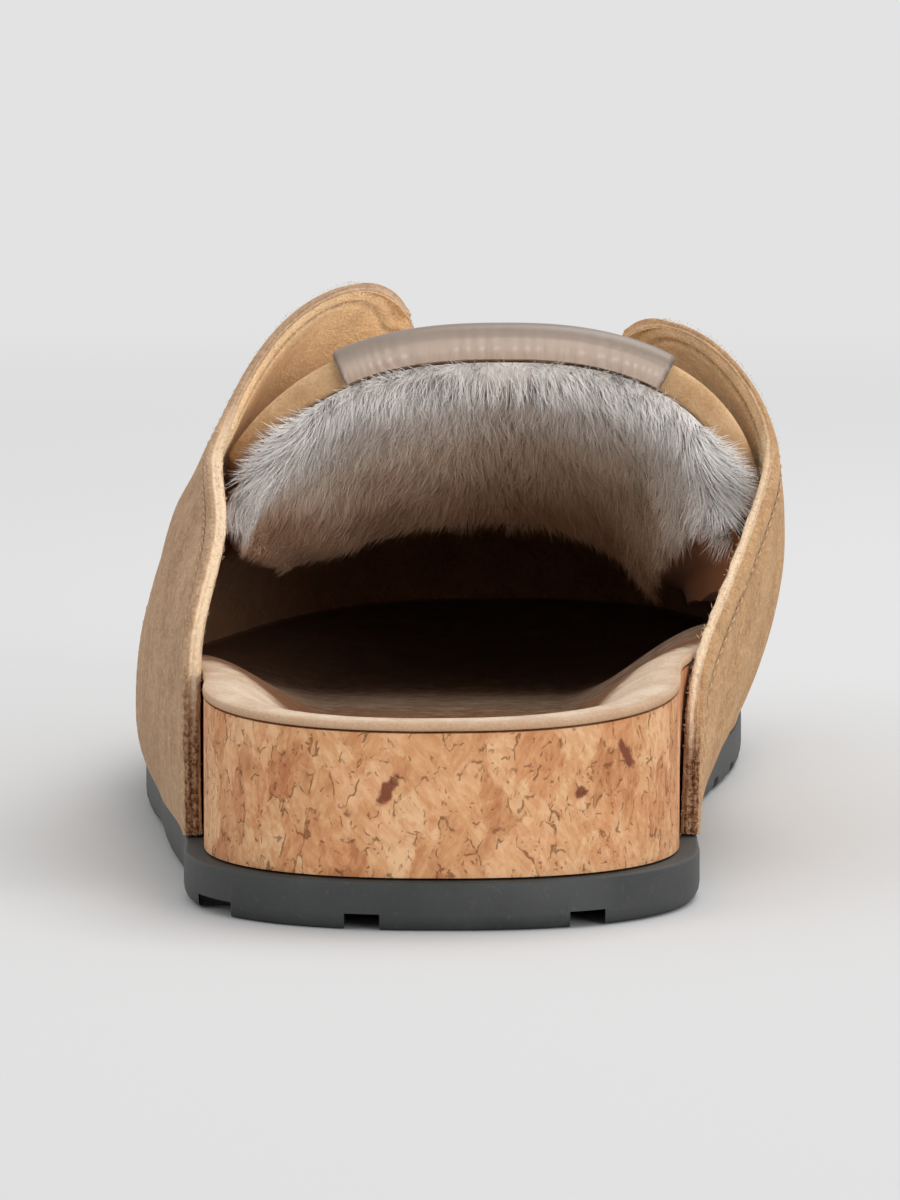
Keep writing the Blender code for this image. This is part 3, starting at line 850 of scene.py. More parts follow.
@dataclass(frozen=True)
class Rubber(Finish):
    """Matt moulded rubber with a fine grain, paler where it is rubbed."""

    name: str = "outsole_rubber"
    dark: Colour = srgb(38, 40, 40)
    pale: Colour = srgb(59, 62, 60)
    dusty: Colour = srgb(112, 110, 104)
    dust: Grain = Grain(1.1, 5.0, 0.7, 0.56, 0.78)
    cloud_size: float = 14.0
    lump_size: float = 3.0
    grain_size: float = 0.4

    def shade(self, graph: Graph) -> None:
        """Clouded charcoal with a little dust, a fine grain and low lumps.

        Args:
            graph: nodes of the finish's material.
        """
        at = graph.place()
        cloud, lump = graph.noise(at, self.cloud_size), graph.noise(at, self.lump_size)
        colour = graph.mix(graph.step(cloud, 0.3, 0.75) * 0.6, self.dark, self.pale)
        graph.surface(
            Base_Color=graph.mix(graph.grain(at, self.dust) * 0.25, colour, self.dusty),
            Roughness=0.5 + 0.2 * cloud,
            Normal=graph.bump(graph.noise(at, self.grain_size, 2.0), 0.25, 0.12, graph.bump(lump, 0.2, 0.3)),
        )


class Fleck(NamedTuple):
    """A dark sliver of bark in the cork: its place on the heel, half sizes and turn."""

    x: float
    z: float
    wide: float
    tall: float
    turn: float


@dataclass(frozen=True)
class Cork(Finish):
    """Pressed cork: warm granules with broken dark seams, specks and a few slivers of bark."""

    name: str = "footbed_cork"
    pale: Colour = srgb(212, 171, 130)
    middle: Colour = srgb(194, 142, 98)
    deep: Colour = srgb(168, 110, 71)
    seam: Colour = srgb(94, 54, 27)
    bark: Colour = srgb(107, 50, 31)
    rosy: Colour = (1.0, 0.9, 0.88)
    granule_size: float = 4.6
    chip_size: float = 1.7
    hair_size: float = 2.3
    speck_size: float = 0.8
    tall: Colour = (1.0, 1.0, 0.66)
    drawn: Colour = (1.0, 1.0, 0.3)
    turns: Pair = (0.7, -0.5)
    strand: Grain = Grain(0.9, 3.0, 0.6, 0.28, 0.72)
    crack_gaps: Grain = Grain(2.6, 2.0, low=0.49, high=0.58)
    hair_gaps: Grain = Grain(2.0, 2.0, low=0.56, high=0.64)
    speck_gaps: Grain = Grain(2.2, 2.0, low=0.52, high=0.62)
    weights: tuple[float, ...] = (0.36, 0.18, 0.28, 0.28, 0.22)
    heel_back: Pair = (-0.112, -0.116)
    flecks: tuple[Fleck, ...] = (
        Fleck(-7.0, 18.9, 1.2, 3.2, -0.5),
        Fleck(25.2, 22.9, 0.9, 2.7, 0.45),
        Fleck(19.0, 18.2, 0.9, 1.2, -0.2),
    )

    def shade(self, graph: Graph) -> None:
        """Soft cells give granules and chips, drawn-out noise their strands, and broken cell edges the dark seams.

        Args:
            graph: nodes of the finish's material.
        """
        at = graph.warped(graph.warped(graph.place(self.tall), 3.4, 2.2), 0.9, 0.45)
        lump = graph.cells(at, self.granule_size, "SMOOTH_F1", "Color", Smoothness=0.25)
        granule = graph.channel(lump)
        chip = graph.channel(graph.cells(at, self.chip_size, "SMOOTH_F1", "Color", Smoothness=0.2))
        cloud, grit = graph.noise(graph.place(), 9.0, 2.0), graph.noise(at, 0.7, 5.0, 0.7)
        ways = [graph.warped(graph.place(self.drawn, (0.0, turn, 0.0)), 2.0, 0.6) for turn in self.turns]
        first, second = (graph.grain(way, self.strand) for way in ways)
        slant = granule > 0.5
        shade = graph.blend(self.weights, granule, chip, cloud, grit, slant * first + (1.0 - slant) * second)
        colour = graph.ramp(shade, (0.38, self.deep), (0.66, self.middle), (0.94, self.pale))
        blush = graph.step(graph.channel(lump, "Green"), 0.45, 0.8) * 0.6
        colour = graph.mix(blush, colour, graph.times(colour, self.rosy))
        crack = graph.step(graph.cells(at, self.granule_size, "DISTANCE_TO_EDGE"), 0.04, 0.006)
        hair = graph.step(graph.cells(at, self.hair_size, "DISTANCE_TO_EDGE"), 0.06, 0.012)
        speck = graph.step(graph.cells(at, self.speck_size), 0.3, 0.14)
        crack = crack * graph.grain(graph.place(), self.crack_gaps)
        hair = hair * graph.grain(graph.place((1.0, 1.0, 1.6)), self.hair_gaps)
        speck = speck * graph.grain(at, self.speck_gaps)
        dark, bark = graph.most(crack * 0.7, hair * 0.62, speck * 0.6), self.slivers(graph)
        graph.surface(
            Base_Color=graph.mix(bark * 0.92, graph.mix(dark, colour, self.seam), self.bark),
            Roughness=0.72 + 0.2 * dark,
            Normal=graph.bump(grit * 0.5 + granule * 0.12 - dark * 0.8 - bark * 0.7, 0.5, 0.35),
            Specular_IOR_Level=0.25,
        )

    def slivers(self, graph: Graph) -> Socket:
        """1 inside the bark slivers: turned ellipses on the heel's back face with ragged edges.

        Args:
            graph: nodes of the finish's material.

        Returns:
            The share of bark.
        """
        ragged = graph.noise(graph.place(), 1.1, 3.0) * 1.3
        spots = []
        for f in self.flecks:
            middle = ((f.x - ROW_ORIGIN[0]) * MM, 0.0, f.z * MM)
            moved = graph.vector("SUBTRACT", {0: graph.metres(), 1: middle})
            turned = graph.node("Mapping", {}, {"Vector": moved, "Rotation": (0.0, f.turn, 0.0)})
            scale = (1.0 / (f.wide * MM), 0.0, 1.0 / (f.tall * MM))
            flat = graph.node("Mapping", {}, {"Vector": turned, "Scale": scale})
            spots.append(graph.step(graph.vector("LENGTH", {0: flat}, "Value") + ragged, 1.6, 1.15))
        return graph.most(*spots) * graph.step(graph.axis(graph.metres(), "Y"), *self.heel_back)


@dataclass(frozen=True)
class Suede(Finish):
    """Brushed suede: mottled nap, streaks where it was stroked, raw edges and a lining on its inner face.

    Pieces give the values layer (0 on the outer face, 1 on the inner one, between on a cut edge), rise (0 at the
    sole, 1 at the crest) and seam (1 in a stitched groove). Painted light makes the medial outer face warmer and
    brighter, and the inner face lighter on the lateral side and darker on the medial one; painted shade darkens the
    lining inside the shoe.
    """

    name: str = "upper_suede"
    deep: Colour = srgb(148, 114, 88)
    middle: Colour = srgb(174, 140, 110)
    pale: Colour = srgb(196, 164, 133)
    # Painted light: tint that makes the medial outer face warmer and brighter, as if lit from that side.
    medial_light_tint: Colour = (1.12, 1.0, 0.72)
    lining_low: Colour = srgb(212, 180, 148)
    lining_high: Colour = srgb(252, 220, 176)
    # Painted shade: dark colour of the lining inside the shoe, low on the quarters and in the vamp.
    lining_shade: Colour = srgb(170, 114, 74)
    cut: Colour = srgb(96, 58, 34)
    fray: Colour = srgb(224, 198, 170)
    bloom: Colour = srgb(236, 214, 188)
    mottle: Grain = Grain(20.0, low=0.32, high=0.68)
    patch: Grain = Grain(5.0, 5.0, 0.62)
    streak: Grain = Grain(3.4, 3.0, 0.5, 0.32, 0.68)
    nap: Grain = Grain(0.6, 3.0, 0.7)
    grain: Grain = Grain(1.4, 4.0, 0.75, 0.32, 0.68)
    speck: Grain = Grain(0.6, 4.0, 0.7, 0.4, 0.6)
    weights: tuple[float, ...] = (0.13, 0.16, 0.1, 0.38, 0.27)
    heights: tuple[float, ...] = (0.4, 0.4, 0.4, 0.15)
    # Reach across the shoe, in millimetres, of the painted light on the medial and lateral sides.
    light_side_reach: float = 34.0
    # Painted light: factors that lighten the inner face on the lateral side and darken it on the medial side.
    side_light_tones: Pair = (1.14, 0.8)
    # Spans along the shoe, in millimetres, over which the painted shade comes into the quarters' low lining and into
    # all of the vamp's lining.
    shade_span: Pair = (-40.0, 6.0)
    vamp_shade_span: Pair = (14.0, 26.0)

    def shade(self, graph: Graph) -> None:
        """Noise of five sizes gives mottle, patches, streaks, grain and nap; the layer says which face it is on.

        Args:
            graph: nodes of the finish's material.
        """
        at = graph.place()
        swirl, drawn = graph.warped(at, 8.0, 5.0), graph.warped(graph.place((1.0, 1.0, 0.24)), 6.0, 2.4)
        mottle, patch = graph.grain(swirl, self.mottle), graph.grain(swirl, self.patch)
        streak = graph.grain(drawn, self.streak)
        nap, grain, speck = (graph.grain(at, look) for look in (self.nap, self.grain, self.speck))
        layer, rise, seam = (graph.value(name) for name in ("layer", "rise", "seam"))
        across, along = graph.axis(at, "X"), graph.axis(at, "Y")
        shade = graph.blend(self.weights, mottle, patch, streak, nap, grain)
        outer = graph.ramp(shade, (0.2, self.deep), (0.52, self.middle), (0.88, self.pale))
        # Painted light: the outer face grows warmer and brighter towards the medial side.
        medial_light = graph.step(across, 0.0, self.light_side_reach) * 0.7
        outer = graph.mix(medial_light, outer, graph.times(outer, self.medial_light_tint))
        inner = graph.mix(graph.step(rise, 0.4, 0.52), self.lining_low, self.lining_high)
        # Painted shade: the lining turns dark inside the shoe, low on the quarters and all over the vamp.
        inside = graph.step(along, *self.shade_span) * graph.step(rise, 0.62, 0.48)
        inner = graph.mix(graph.most(inside, graph.step(along, *self.vamp_shade_span)), inner, self.lining_shade)
        inner = graph.times(inner, graph.greys(patch * 0.5 + nap * 0.5, (0.2, 0.8), (0.8, 1.08)))
        # Painted light: the inner face is lighter on the lateral side and darker on the medial side.
        sides = graph.step(across, -self.light_side_reach, self.light_side_reach)
        inner = graph.times(inner, graph.greys(sides, *zip((0.0, 1.0), self.side_light_tones)))
        raw, fray = graph.mix(speck * 0.75, self.cut, self.middle), graph.mix(speck * 0.5, self.fray, self.lining_high)
        rim = graph.mix(graph.step(rise, 0.4, 0.6) * 0.75, fray, outer)
        rim = graph.mix(graph.step(layer, 0.2, 0.42), outer, rim)
        edge = graph.mix(graph.step(rise, 0.1, 0.2), raw, rim)
        body = graph.mix(graph.step(layer, 0.0, 0.08), outer, edge)
        body = graph.mix(graph.step(layer, 0.93, 0.99), body, inner)
        groove = seam * graph.step(nap + 0.3 * patch, 0.1, 0.9)
        height = graph.blend(self.heights, nap, grain, patch, streak)
        graph.surface(
            Base_Color=graph.mix(groove * 0.7, body, self.cut),
            Roughness=0.84 + 0.14 * nap,
            Normal=graph.bump(nap, 0.4, 0.2, graph.bump(height, 0.35, 0.7)),
            Sheen_Weight=0.3,
            Sheen_Roughness=0.4,
            Sheen_Tint=(*self.bloom, 1.0),
            Specular_IOR_Level=0.1,
        )


@dataclass(frozen=True)
class Nap(Finish):
    """Plain suede in one colour family, with a fine nap.

    Pieces give the values edge (1 on a cut edge) and worn (1 where the suede is painted dark as shade deep in the
    shoe).
    """

    name: str = "nap"
    deep: Colour = srgb(186, 159, 133)
    pale: Colour = srgb(213, 193, 172)
    edge: Colour = srgb(160, 122, 88)
    # Painted shade: dark colour of the suede deep in the shoe.
    worn: Colour = srgb(112, 74, 48)
    patch: Grain = Grain(7.0, 4.0)
    nap: Grain = Grain(0.5, 3.0, 0.7)
    tread: Grain = Grain(2.6, 5.0, 0.7)
    speck: Grain = Grain(0.32, low=0.35, high=0.65)
    # Weights of the mottle within the painted shade.
    rubbed: tuple[float, ...] = (0.4, 0.3, 0.3)

    def shade(self, graph: Graph) -> None:
        """Patches and nap mix the two colours, the cut edge is specked, and painted shade darkens the rest deep in the
        shoe.

        Args:
            graph: nodes of the finish's material.
        """
        at = graph.place()
        patch = graph.grain(graph.warped(at, 5.0, 2.0), self.patch)
        nap, tread, speck = (graph.grain(at, look) for look in (self.nap, self.tread, self.speck))
        body = graph.ramp(patch * 0.55 + nap * 0.45, (0.12, self.deep), (0.85, self.pale))
        # Painted shade: dark deep in the shoe, with a ragged border and a mottle.
        worn = graph.value("worn")
        ragged = graph.step(worn + (tread - 0.5) * 0.34 * graph.step(worn, 0.0, 0.3), 0.06, 0.9)
        rubbed = graph.greys(graph.blend(self.rubbed, nap, tread, patch), (0.2, 0.74), (0.8, 1.26))
        body = graph.mix(ragged, body, graph.times(self.worn, rubbed))
        graph.surface(
            Base_Color=graph.mix(graph.value("edge"), body, graph.mix(speck * 0.5, self.edge, self.deep)),
            Roughness=0.88 + 0.1 * nap,
            Normal=graph.bump(nap, 0.4, 0.18, graph.bump(patch, 0.25, 0.5)),
            Sheen_Weight=0.06,
            Sheen_Roughness=0.5,
            Sheen_Tint=(*self.pale, 1.0),
            Specular_IOR_Level=0.08,
        )


@dataclass(frozen=True)
class Satin(Finish):
    """Smooth taupe leather with a soft gloss, fine pores and dark sewn ends where the value edge is 1."""

    name: str = "band_leather"
    # Painted shade: the top is darker and the low part lighter and pinkish, by the value low.
    top: Colour = srgb(120, 105, 93)
    middle: Colour = srgb(158, 141, 127)
    low: Colour = srgb(184, 164, 149)
    sewn: Colour = srgb(74, 56, 46)
    pore_size: float = 0.35

    def shade(self, graph: Graph) -> None:
        """Painted shade makes it darker on top and lighter, pinkish below, with clouds along it; fine puckers above
        its sewn edge have painted shade in their troughs; pores.

        Args:
            graph: nodes of the finish's material.
        """
        low, edge = graph.value("low"), graph.value("edge")
        cloud = graph.noise(graph.place((0.35, 1.0, 1.0)), 5.0, 4.0)
        pucker = graph.noise(graph.warped(graph.place((1.0, 0.1, 0.1)), 3.0, 0.3), 0.8, 2.0)
        pore = graph.cells(graph.place(), self.pore_size)
        body = graph.ramp(low + (cloud - 0.5) * 0.35, (0.0, self.top), (0.5, self.middle), (1.0, self.low))
        # Painted shade in the troughs of the puckers.
        lined = graph.step(pucker, 0.52, 0.34) * graph.step(low, 0.5, 0.95) * 0.08
        graph.surface(
            Base_Color=graph.mix(graph.most(lined, edge * 0.9), body, self.sewn),
            Roughness=0.32 + 0.16 * cloud,
            Normal=graph.bump(pore, 0.1, 0.05, graph.bump(pucker * low, 0.3, 0.4)),
            Specular_IOR_Level=0.5,
            Coat_Weight=0.1,
            Coat_Roughness=0.35,
        )


@dataclass(frozen=True)
class Fur(Finish):
    """Silver fur with dark guard hairs and roots darkened as painted shade, painted warm bounce light and brown shade
    deep in the shoe, and bare brown skin.

    Pieces give the values tip (0 at a root, 1 at a point), tone (each hair's own), deep (1 deep in the shoe, where
    warm light and shade are painted) and bare (1 where no hair grows).
    """

    name: str = "fur_hair"
    # Painted shade: roots darker than the tips, for the shade between the hairs.
    root: Colour = srgb(232, 225, 219)
    silver: Colour = srgb(252, 250, 248)
    guard: Colour = srgb(114, 108, 108)
    # Painted warm bounce light and brown shade deep in the shoe: the middle and far stops of the deep ramp.
    warm: Colour = srgb(250, 235, 219)
    shade_deep: Colour = srgb(226, 190, 160)
    skin: Colour = srgb(146, 90, 46)
    white: Colour = (1.0, 1.0, 1.0)

    def shade(self, graph: Graph) -> None:
        """Roots to tips by the value tip, the roots darker as painted shade; each hair lighter or darker by tone;
        painted warm bounce light and then brown painted shade with deep.

        Args:
            graph: nodes of the finish's material.
        """
        tip, tone, deep, bare = (graph.value(name) for name in ("tip", "tone", "deep", "bare"))
        # Painted shade at the roots, lightening towards the tips.
        hair = graph.mix(graph.step(tip, 0.0, 0.7), self.root, self.silver)
        hair = graph.mix(graph.step(tone, 0.24, 0.04) * 0.8, hair, self.guard)
        # Painted warm bounce light and brown shade deep in the shoe, by the value deep.
        hair = graph.times(hair, graph.ramp(deep, (0.0, self.white), (0.5, self.warm), (1.0, self.shade_deep)))
        hair = graph.times(hair, graph.greys(tone, (0.0, 0.9), (1.0, 1.03)))
        graph.surface(
            Base_Color=graph.mix(bare, hair, self.skin),
            Roughness=0.55,
            Specular_IOR_Level=0.3,
            Sheen_Weight=0.1,
        )


@dataclass(frozen=True)
class Plain(Finish):
    """Thread or fibre in one colour with a faint twist of shade."""

    colour: Colour

    def shade(self, graph: Graph) -> None:
        """Small noise lightens and darkens the colour.

        Args:
            graph: nodes of the finish's material.
        """
        twist = graph.noise(graph.place(), 0.5, 2.0)
        graph.surface(
            Base_Color=graph.times(self.colour, graph.greys(twist, (0.3, 0.75), (0.7, 1.1))),
            Roughness=0.8,
            Normal=graph.bump(twist, 0.3, 0.1),
        )


@dataclass
class Outsole:
    """Moulded sole with a rounded lower edge and grooves between its lugs."""

    last: Last
    finish: Finish = Rubber()
    top_round: float = 0.5
    low_round: Pair = (1.6, 2.2)
    round_steps: int = 5
    groove_wide: float = 4.8
    groove_deep: float = 2.3
    heel_grooves_x: tuple[float, ...] = (-31.0, -10.5, 20.0)
    heel_groove_end: float = 25.0
    heel_pockets_y: tuple[float, ...] = (38.0, 58.0)
    heel_pocket_half: float = 24.0
    forefoot_grooves_y: tuple[float, ...] = (132.0, 152.0, 172.0, 192.0, 212.0)
    cut_past: Triple = (70.0, 5.0, 3.0)
    rows: tuple[int, int, int] = (40, 60, 40)
    columns: int = 7
    end_trim: float = 0.05

    def level(self, inset: float, drop: float, rise: float) -> Array:
        """Grid over the outline moved in by an inset, at a drop from the top or a rise from the bottom.

        Args:
            inset: distance in from the outline.
            drop: distance below the top, used where it is not negative.
            rise: distance above the bottom, used otherwise.

        Returns:
            Grid of points.
        """
        trim = inset + self.end_trim
        y = self.last.stations(trim, self.last.length - inset - self.end_trim, *self.rows)[:, None]
        y, q = np.broadcast_arrays(y, np.linspace(-1.0, 1.0, self.columns)[None, :])
        z = self.last.sole_top(y) - drop if drop >= 0.0 else self.last.sole_bottom(y) + rise
        return np.stack([self.last.plan_x(y, q, inset), y, z], axis=-1)

    def grooves(self) -> MeshPlan:
        """Boxes between the lugs: a low and a high corner each, turned into eight points and six faces.

        Returns:
            All boxes as one mesh.
        """
        half, deep, pocket = self.groove_wide / 2.0, self.groove_deep, self.heel_pocket_half
        beside, behind, below = self.cut_past
        boxes = [((x - half, -behind, -below), (x + half, self.heel_groove_end, deep)) for x in self.heel_grooves_x]
        boxes += [((-pocket, y - half, -below), (pocket, y + half, deep)) for y in self.heel_pockets_y]
        floors = self.last.sole_bottom(np.array(self.forefoot_grooves_y))
        for y, floor in zip(self.forefoot_grooves_y, floors):
            boxes.append(((-beside, y - half, -below), (beside, y + half, floor + deep)))
        corners = np.array(boxes)[:, :, None]
        pick = np.array([[i >> 2 & 1, i >> 1 & 1, i & 1] for i in range(8)])
        points = np.where(pick, corners[:, 1], corners[:, 0])
        sides = np.array([[0, 1, 3, 2], [4, 6, 7, 5], [0, 4, 5, 1], [2, 3, 7, 6], [0, 2, 6, 4], [1, 5, 7, 3]])
        faces = sides + 8 * np.arange(len(points))[:, None, None]
        return MeshPlan(points.reshape(-1, 3), [faces.reshape(-1, 4)])

    def build(self) -> bpy.types.Object:
        """Rounds the top edge with a small and the lower edge with a larger quarter ellipse, then cuts the grooves.

        Returns:
            The sole.
        """
        turn = np.linspace(0.0, QUARTER_TURN, self.round_steps)
        unused, small = -1.0, self.top_round
        wide, tall = self.low_round
        top = [(small * (1.0 - math.sin(t)), small * (1.0 - math.cos(t)), unused) for t in turn]
        low = [(wide * (1.0 - math.cos(t)), unused, tall * (1.0 - math.sin(t))) for t in turn]
        levels = [self.level(*place) for place in top + low]
        quads = grid_quads(*levels[0].shape[:2])
        sole = closed_wall(levels, quads).build("outsole_rubber", self.finish, "outsole", "outsole")
        boxes = self.grooves().build("grooves", self.finish, "outsole")
        cut = sole.modifiers.new("tread", "BOOLEAN")
        cut.operation, cut.solver, cut.object = "DIFFERENCE", "EXACT", boxes
        done = bpy.data.meshes.new_from_object(sole.evaluated_get(bpy.context.evaluated_depsgraph_get()))
        sole.modifiers.clear()
        sole.data = smoothed(done)
        bpy.data.objects.remove(boxes)
        return sole


@dataclass
class Footbed:
    """Cork footbed with heel cup and arch, and the suede that lines it."""

    last: Last
    cork: Finish = Cork()
    lining: Finish = Nap("insole_suede", edge=srgb(172, 132, 98))
    heel_inset: float = 1.4
    lean_span: Pair = (30.0, 48.0)
    lean_follow: Pair = (0.94, 1.06)
    cup_start: float = 0.42
    cup_end: float = 0.93
    rim_start: float = 0.97
    lining_thick: float = 1.2
    lining_roll: float = 0.45
    lining_edge: Span = Span(0.955, 0.04)
    # Painted shade on the lining: where it starts along the shoe, how much later it starts at the rim, and the length
    # over which it comes in.
    worn: Triple = (12.0, 50.0, 27.0)
    # The painted shade is lighter over the arch: its middle, half width and how much lighter.
    arch: Triple = (122.0, 46.0, 0.6)
    along: tuple[int, int, int] = (40, 70, 30)
    across: int = 61
    across_power: float = 1.35
    end_trim: float = 0.05
    shares: tuple[float, ...] = (1.0, 0.97, 0.8, 0.6, 0.4, 0.2, 0.0)
    roll_steps: int = 9
    rows: tuple[tuple[float, ...], ...] = (
        (0.0, 20.5, 26.6, 26.6),
        (40.0, 20.0, 28.3, 29.6),
        (80.0, 19.0, 27.5, 30.5),
        (105.0, 17.5, 25.0, 30.0),
        (135.0, 15.5, 20.5, 25.0),
        (165.0, 13.6, 18.0, 19.5),
        (205.0, 13.6, 17.0, 17.0),
        (264.0, 17.6, 19.0, 19.0),
    )

    @property
    def inset(self) -> float:
        """Footbed's edge inside the outsole's outline: edge, upper's wall and clearance."""
        return self.last.sole_edge + self.last.wall + 1.5 * self.last.gap

    def places(self) -> tuple[Array, Array]:
        """Grid over the footbed: places along it, and shares q from its lateral to its medial edge.

        Returns:
            Grids of y and of q.
        """
        end = self.last.length - self.inset - self.end_trim
        y = self.last.stations(self.heel_inset + self.end_trim, end, *self.along)[:, None]
        lean = np.linspace(-1.0, 1.0, self.across)
        q = np.sign(lean) * (1.0 - (1.0 - np.abs(lean)) ** self.across_power)
        return np.broadcast_arrays(y, q[None, :])

    def rim_share(self, y: Array, q: Array) -> Array:
        """0 along the middle of the footbed and 1 all round its edge.

        Args:
            y: places along the length.
            q: shares across, from -1 to 1.

        Returns:
            Shares.
        """
        share = np.abs(q)
        for side in Side:
            o = side.of(self.last.outlines)
            here = (q < 0.0) == (side is Side.LATERAL)
            heel = np.clip((o.heel_y - y) / (o.heel_y - self.heel_inset), 0.0, 1.0)
            toe = np.clip((y - o.ball_y) / (self.last.length - self.inset - o.ball_y), 0.0, 1.0)
            for end, power in ((heel, o.heel_power), (toe, o.toe_power)):
                round_share = (np.abs(q) ** power * (1.0 - end**power) + end**power) ** (1.0 / power)
                share = np.where(here & (end > 0.0), round_share, share)
        return share

    def height(self, y: Array, q: Array) -> Array:
        """Top of the cork: a floor that rises through a rounded cup to a flat lip at the rim.

        Args:
            y: places along the length.
            q: shares across, from -1 to 1.

        Returns:
            Heights.
        """
        table = np.array(self.rows)
        floor, lateral, medial = (through(table[:, 0], table[:, i], y) for i in (1, 2, 3))
        rim = lateral + (medial - lateral) * ease(q * 0.5 + 0.5)
        cup = ease((self.rim_share(y, q) - self.cup_start) / (self.cup_end - self.cup_start))
        return floor + (rim - floor) * cup

    def level(self, y: Array, q: Array, top: Array, share: float, shrink: float = 0.0) -> Array:
        """Footbed at a share of its height, following the flare of the upper's inner face.

        Args:
            y: places along the length.
            q: shares across.
            top: heights of the cork's top.
            share: 0 for the bottom, 1 for the top.
            shrink: how far its rim is moved in.

        Returns:
            Grid of points.
        """
        low = self.last.sole_top(y) + self.last.gap
        z = low + (top - low) * share
        start, end = self.lean_span
        lean = self.last.wall_lean(y, q < 0.0, z - low) * ease((y - start) / (end - start))
        x = self.last.plan_x(y, q, self.inset, self.heel_inset) + q * (lean * np.where(lean > 0.0, *self.lean_follow))
        rim = self.rim_share(y, q) > self.rim_start
        inward = np.stack([self.last.long_axis(y) - x, (self.last.length / 2.0 - y) * rim, 0.0 * z], axis=-1)
        return np.stack([x, y, z], axis=-1) + shrink * unit(inward) * rim[..., None]

    def build(self) -> list[bpy.types.Object]:
        """Cork from its top down to the outsole, and the lining over it with a rolled edge.

        Returns:
            The cork and the lining.
        """
        y, q = self.places()
        top, quads = self.height(y, q), grid_quads(*y.shape)
        levels = [self.level(y, q, top, share) for share in self.shares]
        cork = closed_wall(levels, quads).build("footbed_cork", self.cork, "footbed", "footbed")
        rolled = []
        for turn in np.linspace(0.0, math.pi, self.roll_steps):
            rise = self.last.gap + self.lining_thick * 0.5 * (1.0 + math.cos(turn))
            moved = self.level(y, q, top, 1.0, -self.lining_roll * math.sin(turn)) - levels[0]
            rolled.append(levels[0] + np.array([0.0, 0.0, rise]) + moved)
        share = self.rim_share(y, q)
        edge = self.lining_edge.up(share)
        # Painted shade: the lining darkens from the heel forwards, later near the rim and less over the arch.
        start, slant, span = self.worn
        middle, half, pale = self.arch
        worn = ease((y - start - slant * share**3) / span) * (1.0 - pale * hump((y - middle) / half))
        # The edge value grows towards the underside of the rolled edge: the cut edge's own colour, with painted shade
        # under the roll.
        values = {
            "edge": [edge * down for down in np.sqrt(np.linspace(0.2, 1.0, self.roll_steps))],
            "worn": [worn] * self.roll_steps,
        }
        return [cork, closed_wall(rolled, quads, values).build("insole_lining", self.lining, "insole", "insole")]


class Crease(NamedTuple):
    """A soft trough in the suede, on one side of the shoe: its line from climb to climb, width and depth."""

    side: Side
    y: float
    low: float
    high: float
    slope: float
    wide: float
    deep: float


class Thread(NamedTuple):
    """A stitch: half length, radius at its five rings, bow out of the suede, drop of its ends and depth sunk."""

    half: float
    radius: tuple[float, ...]
    bow: float
    drop: float
    sunk: float


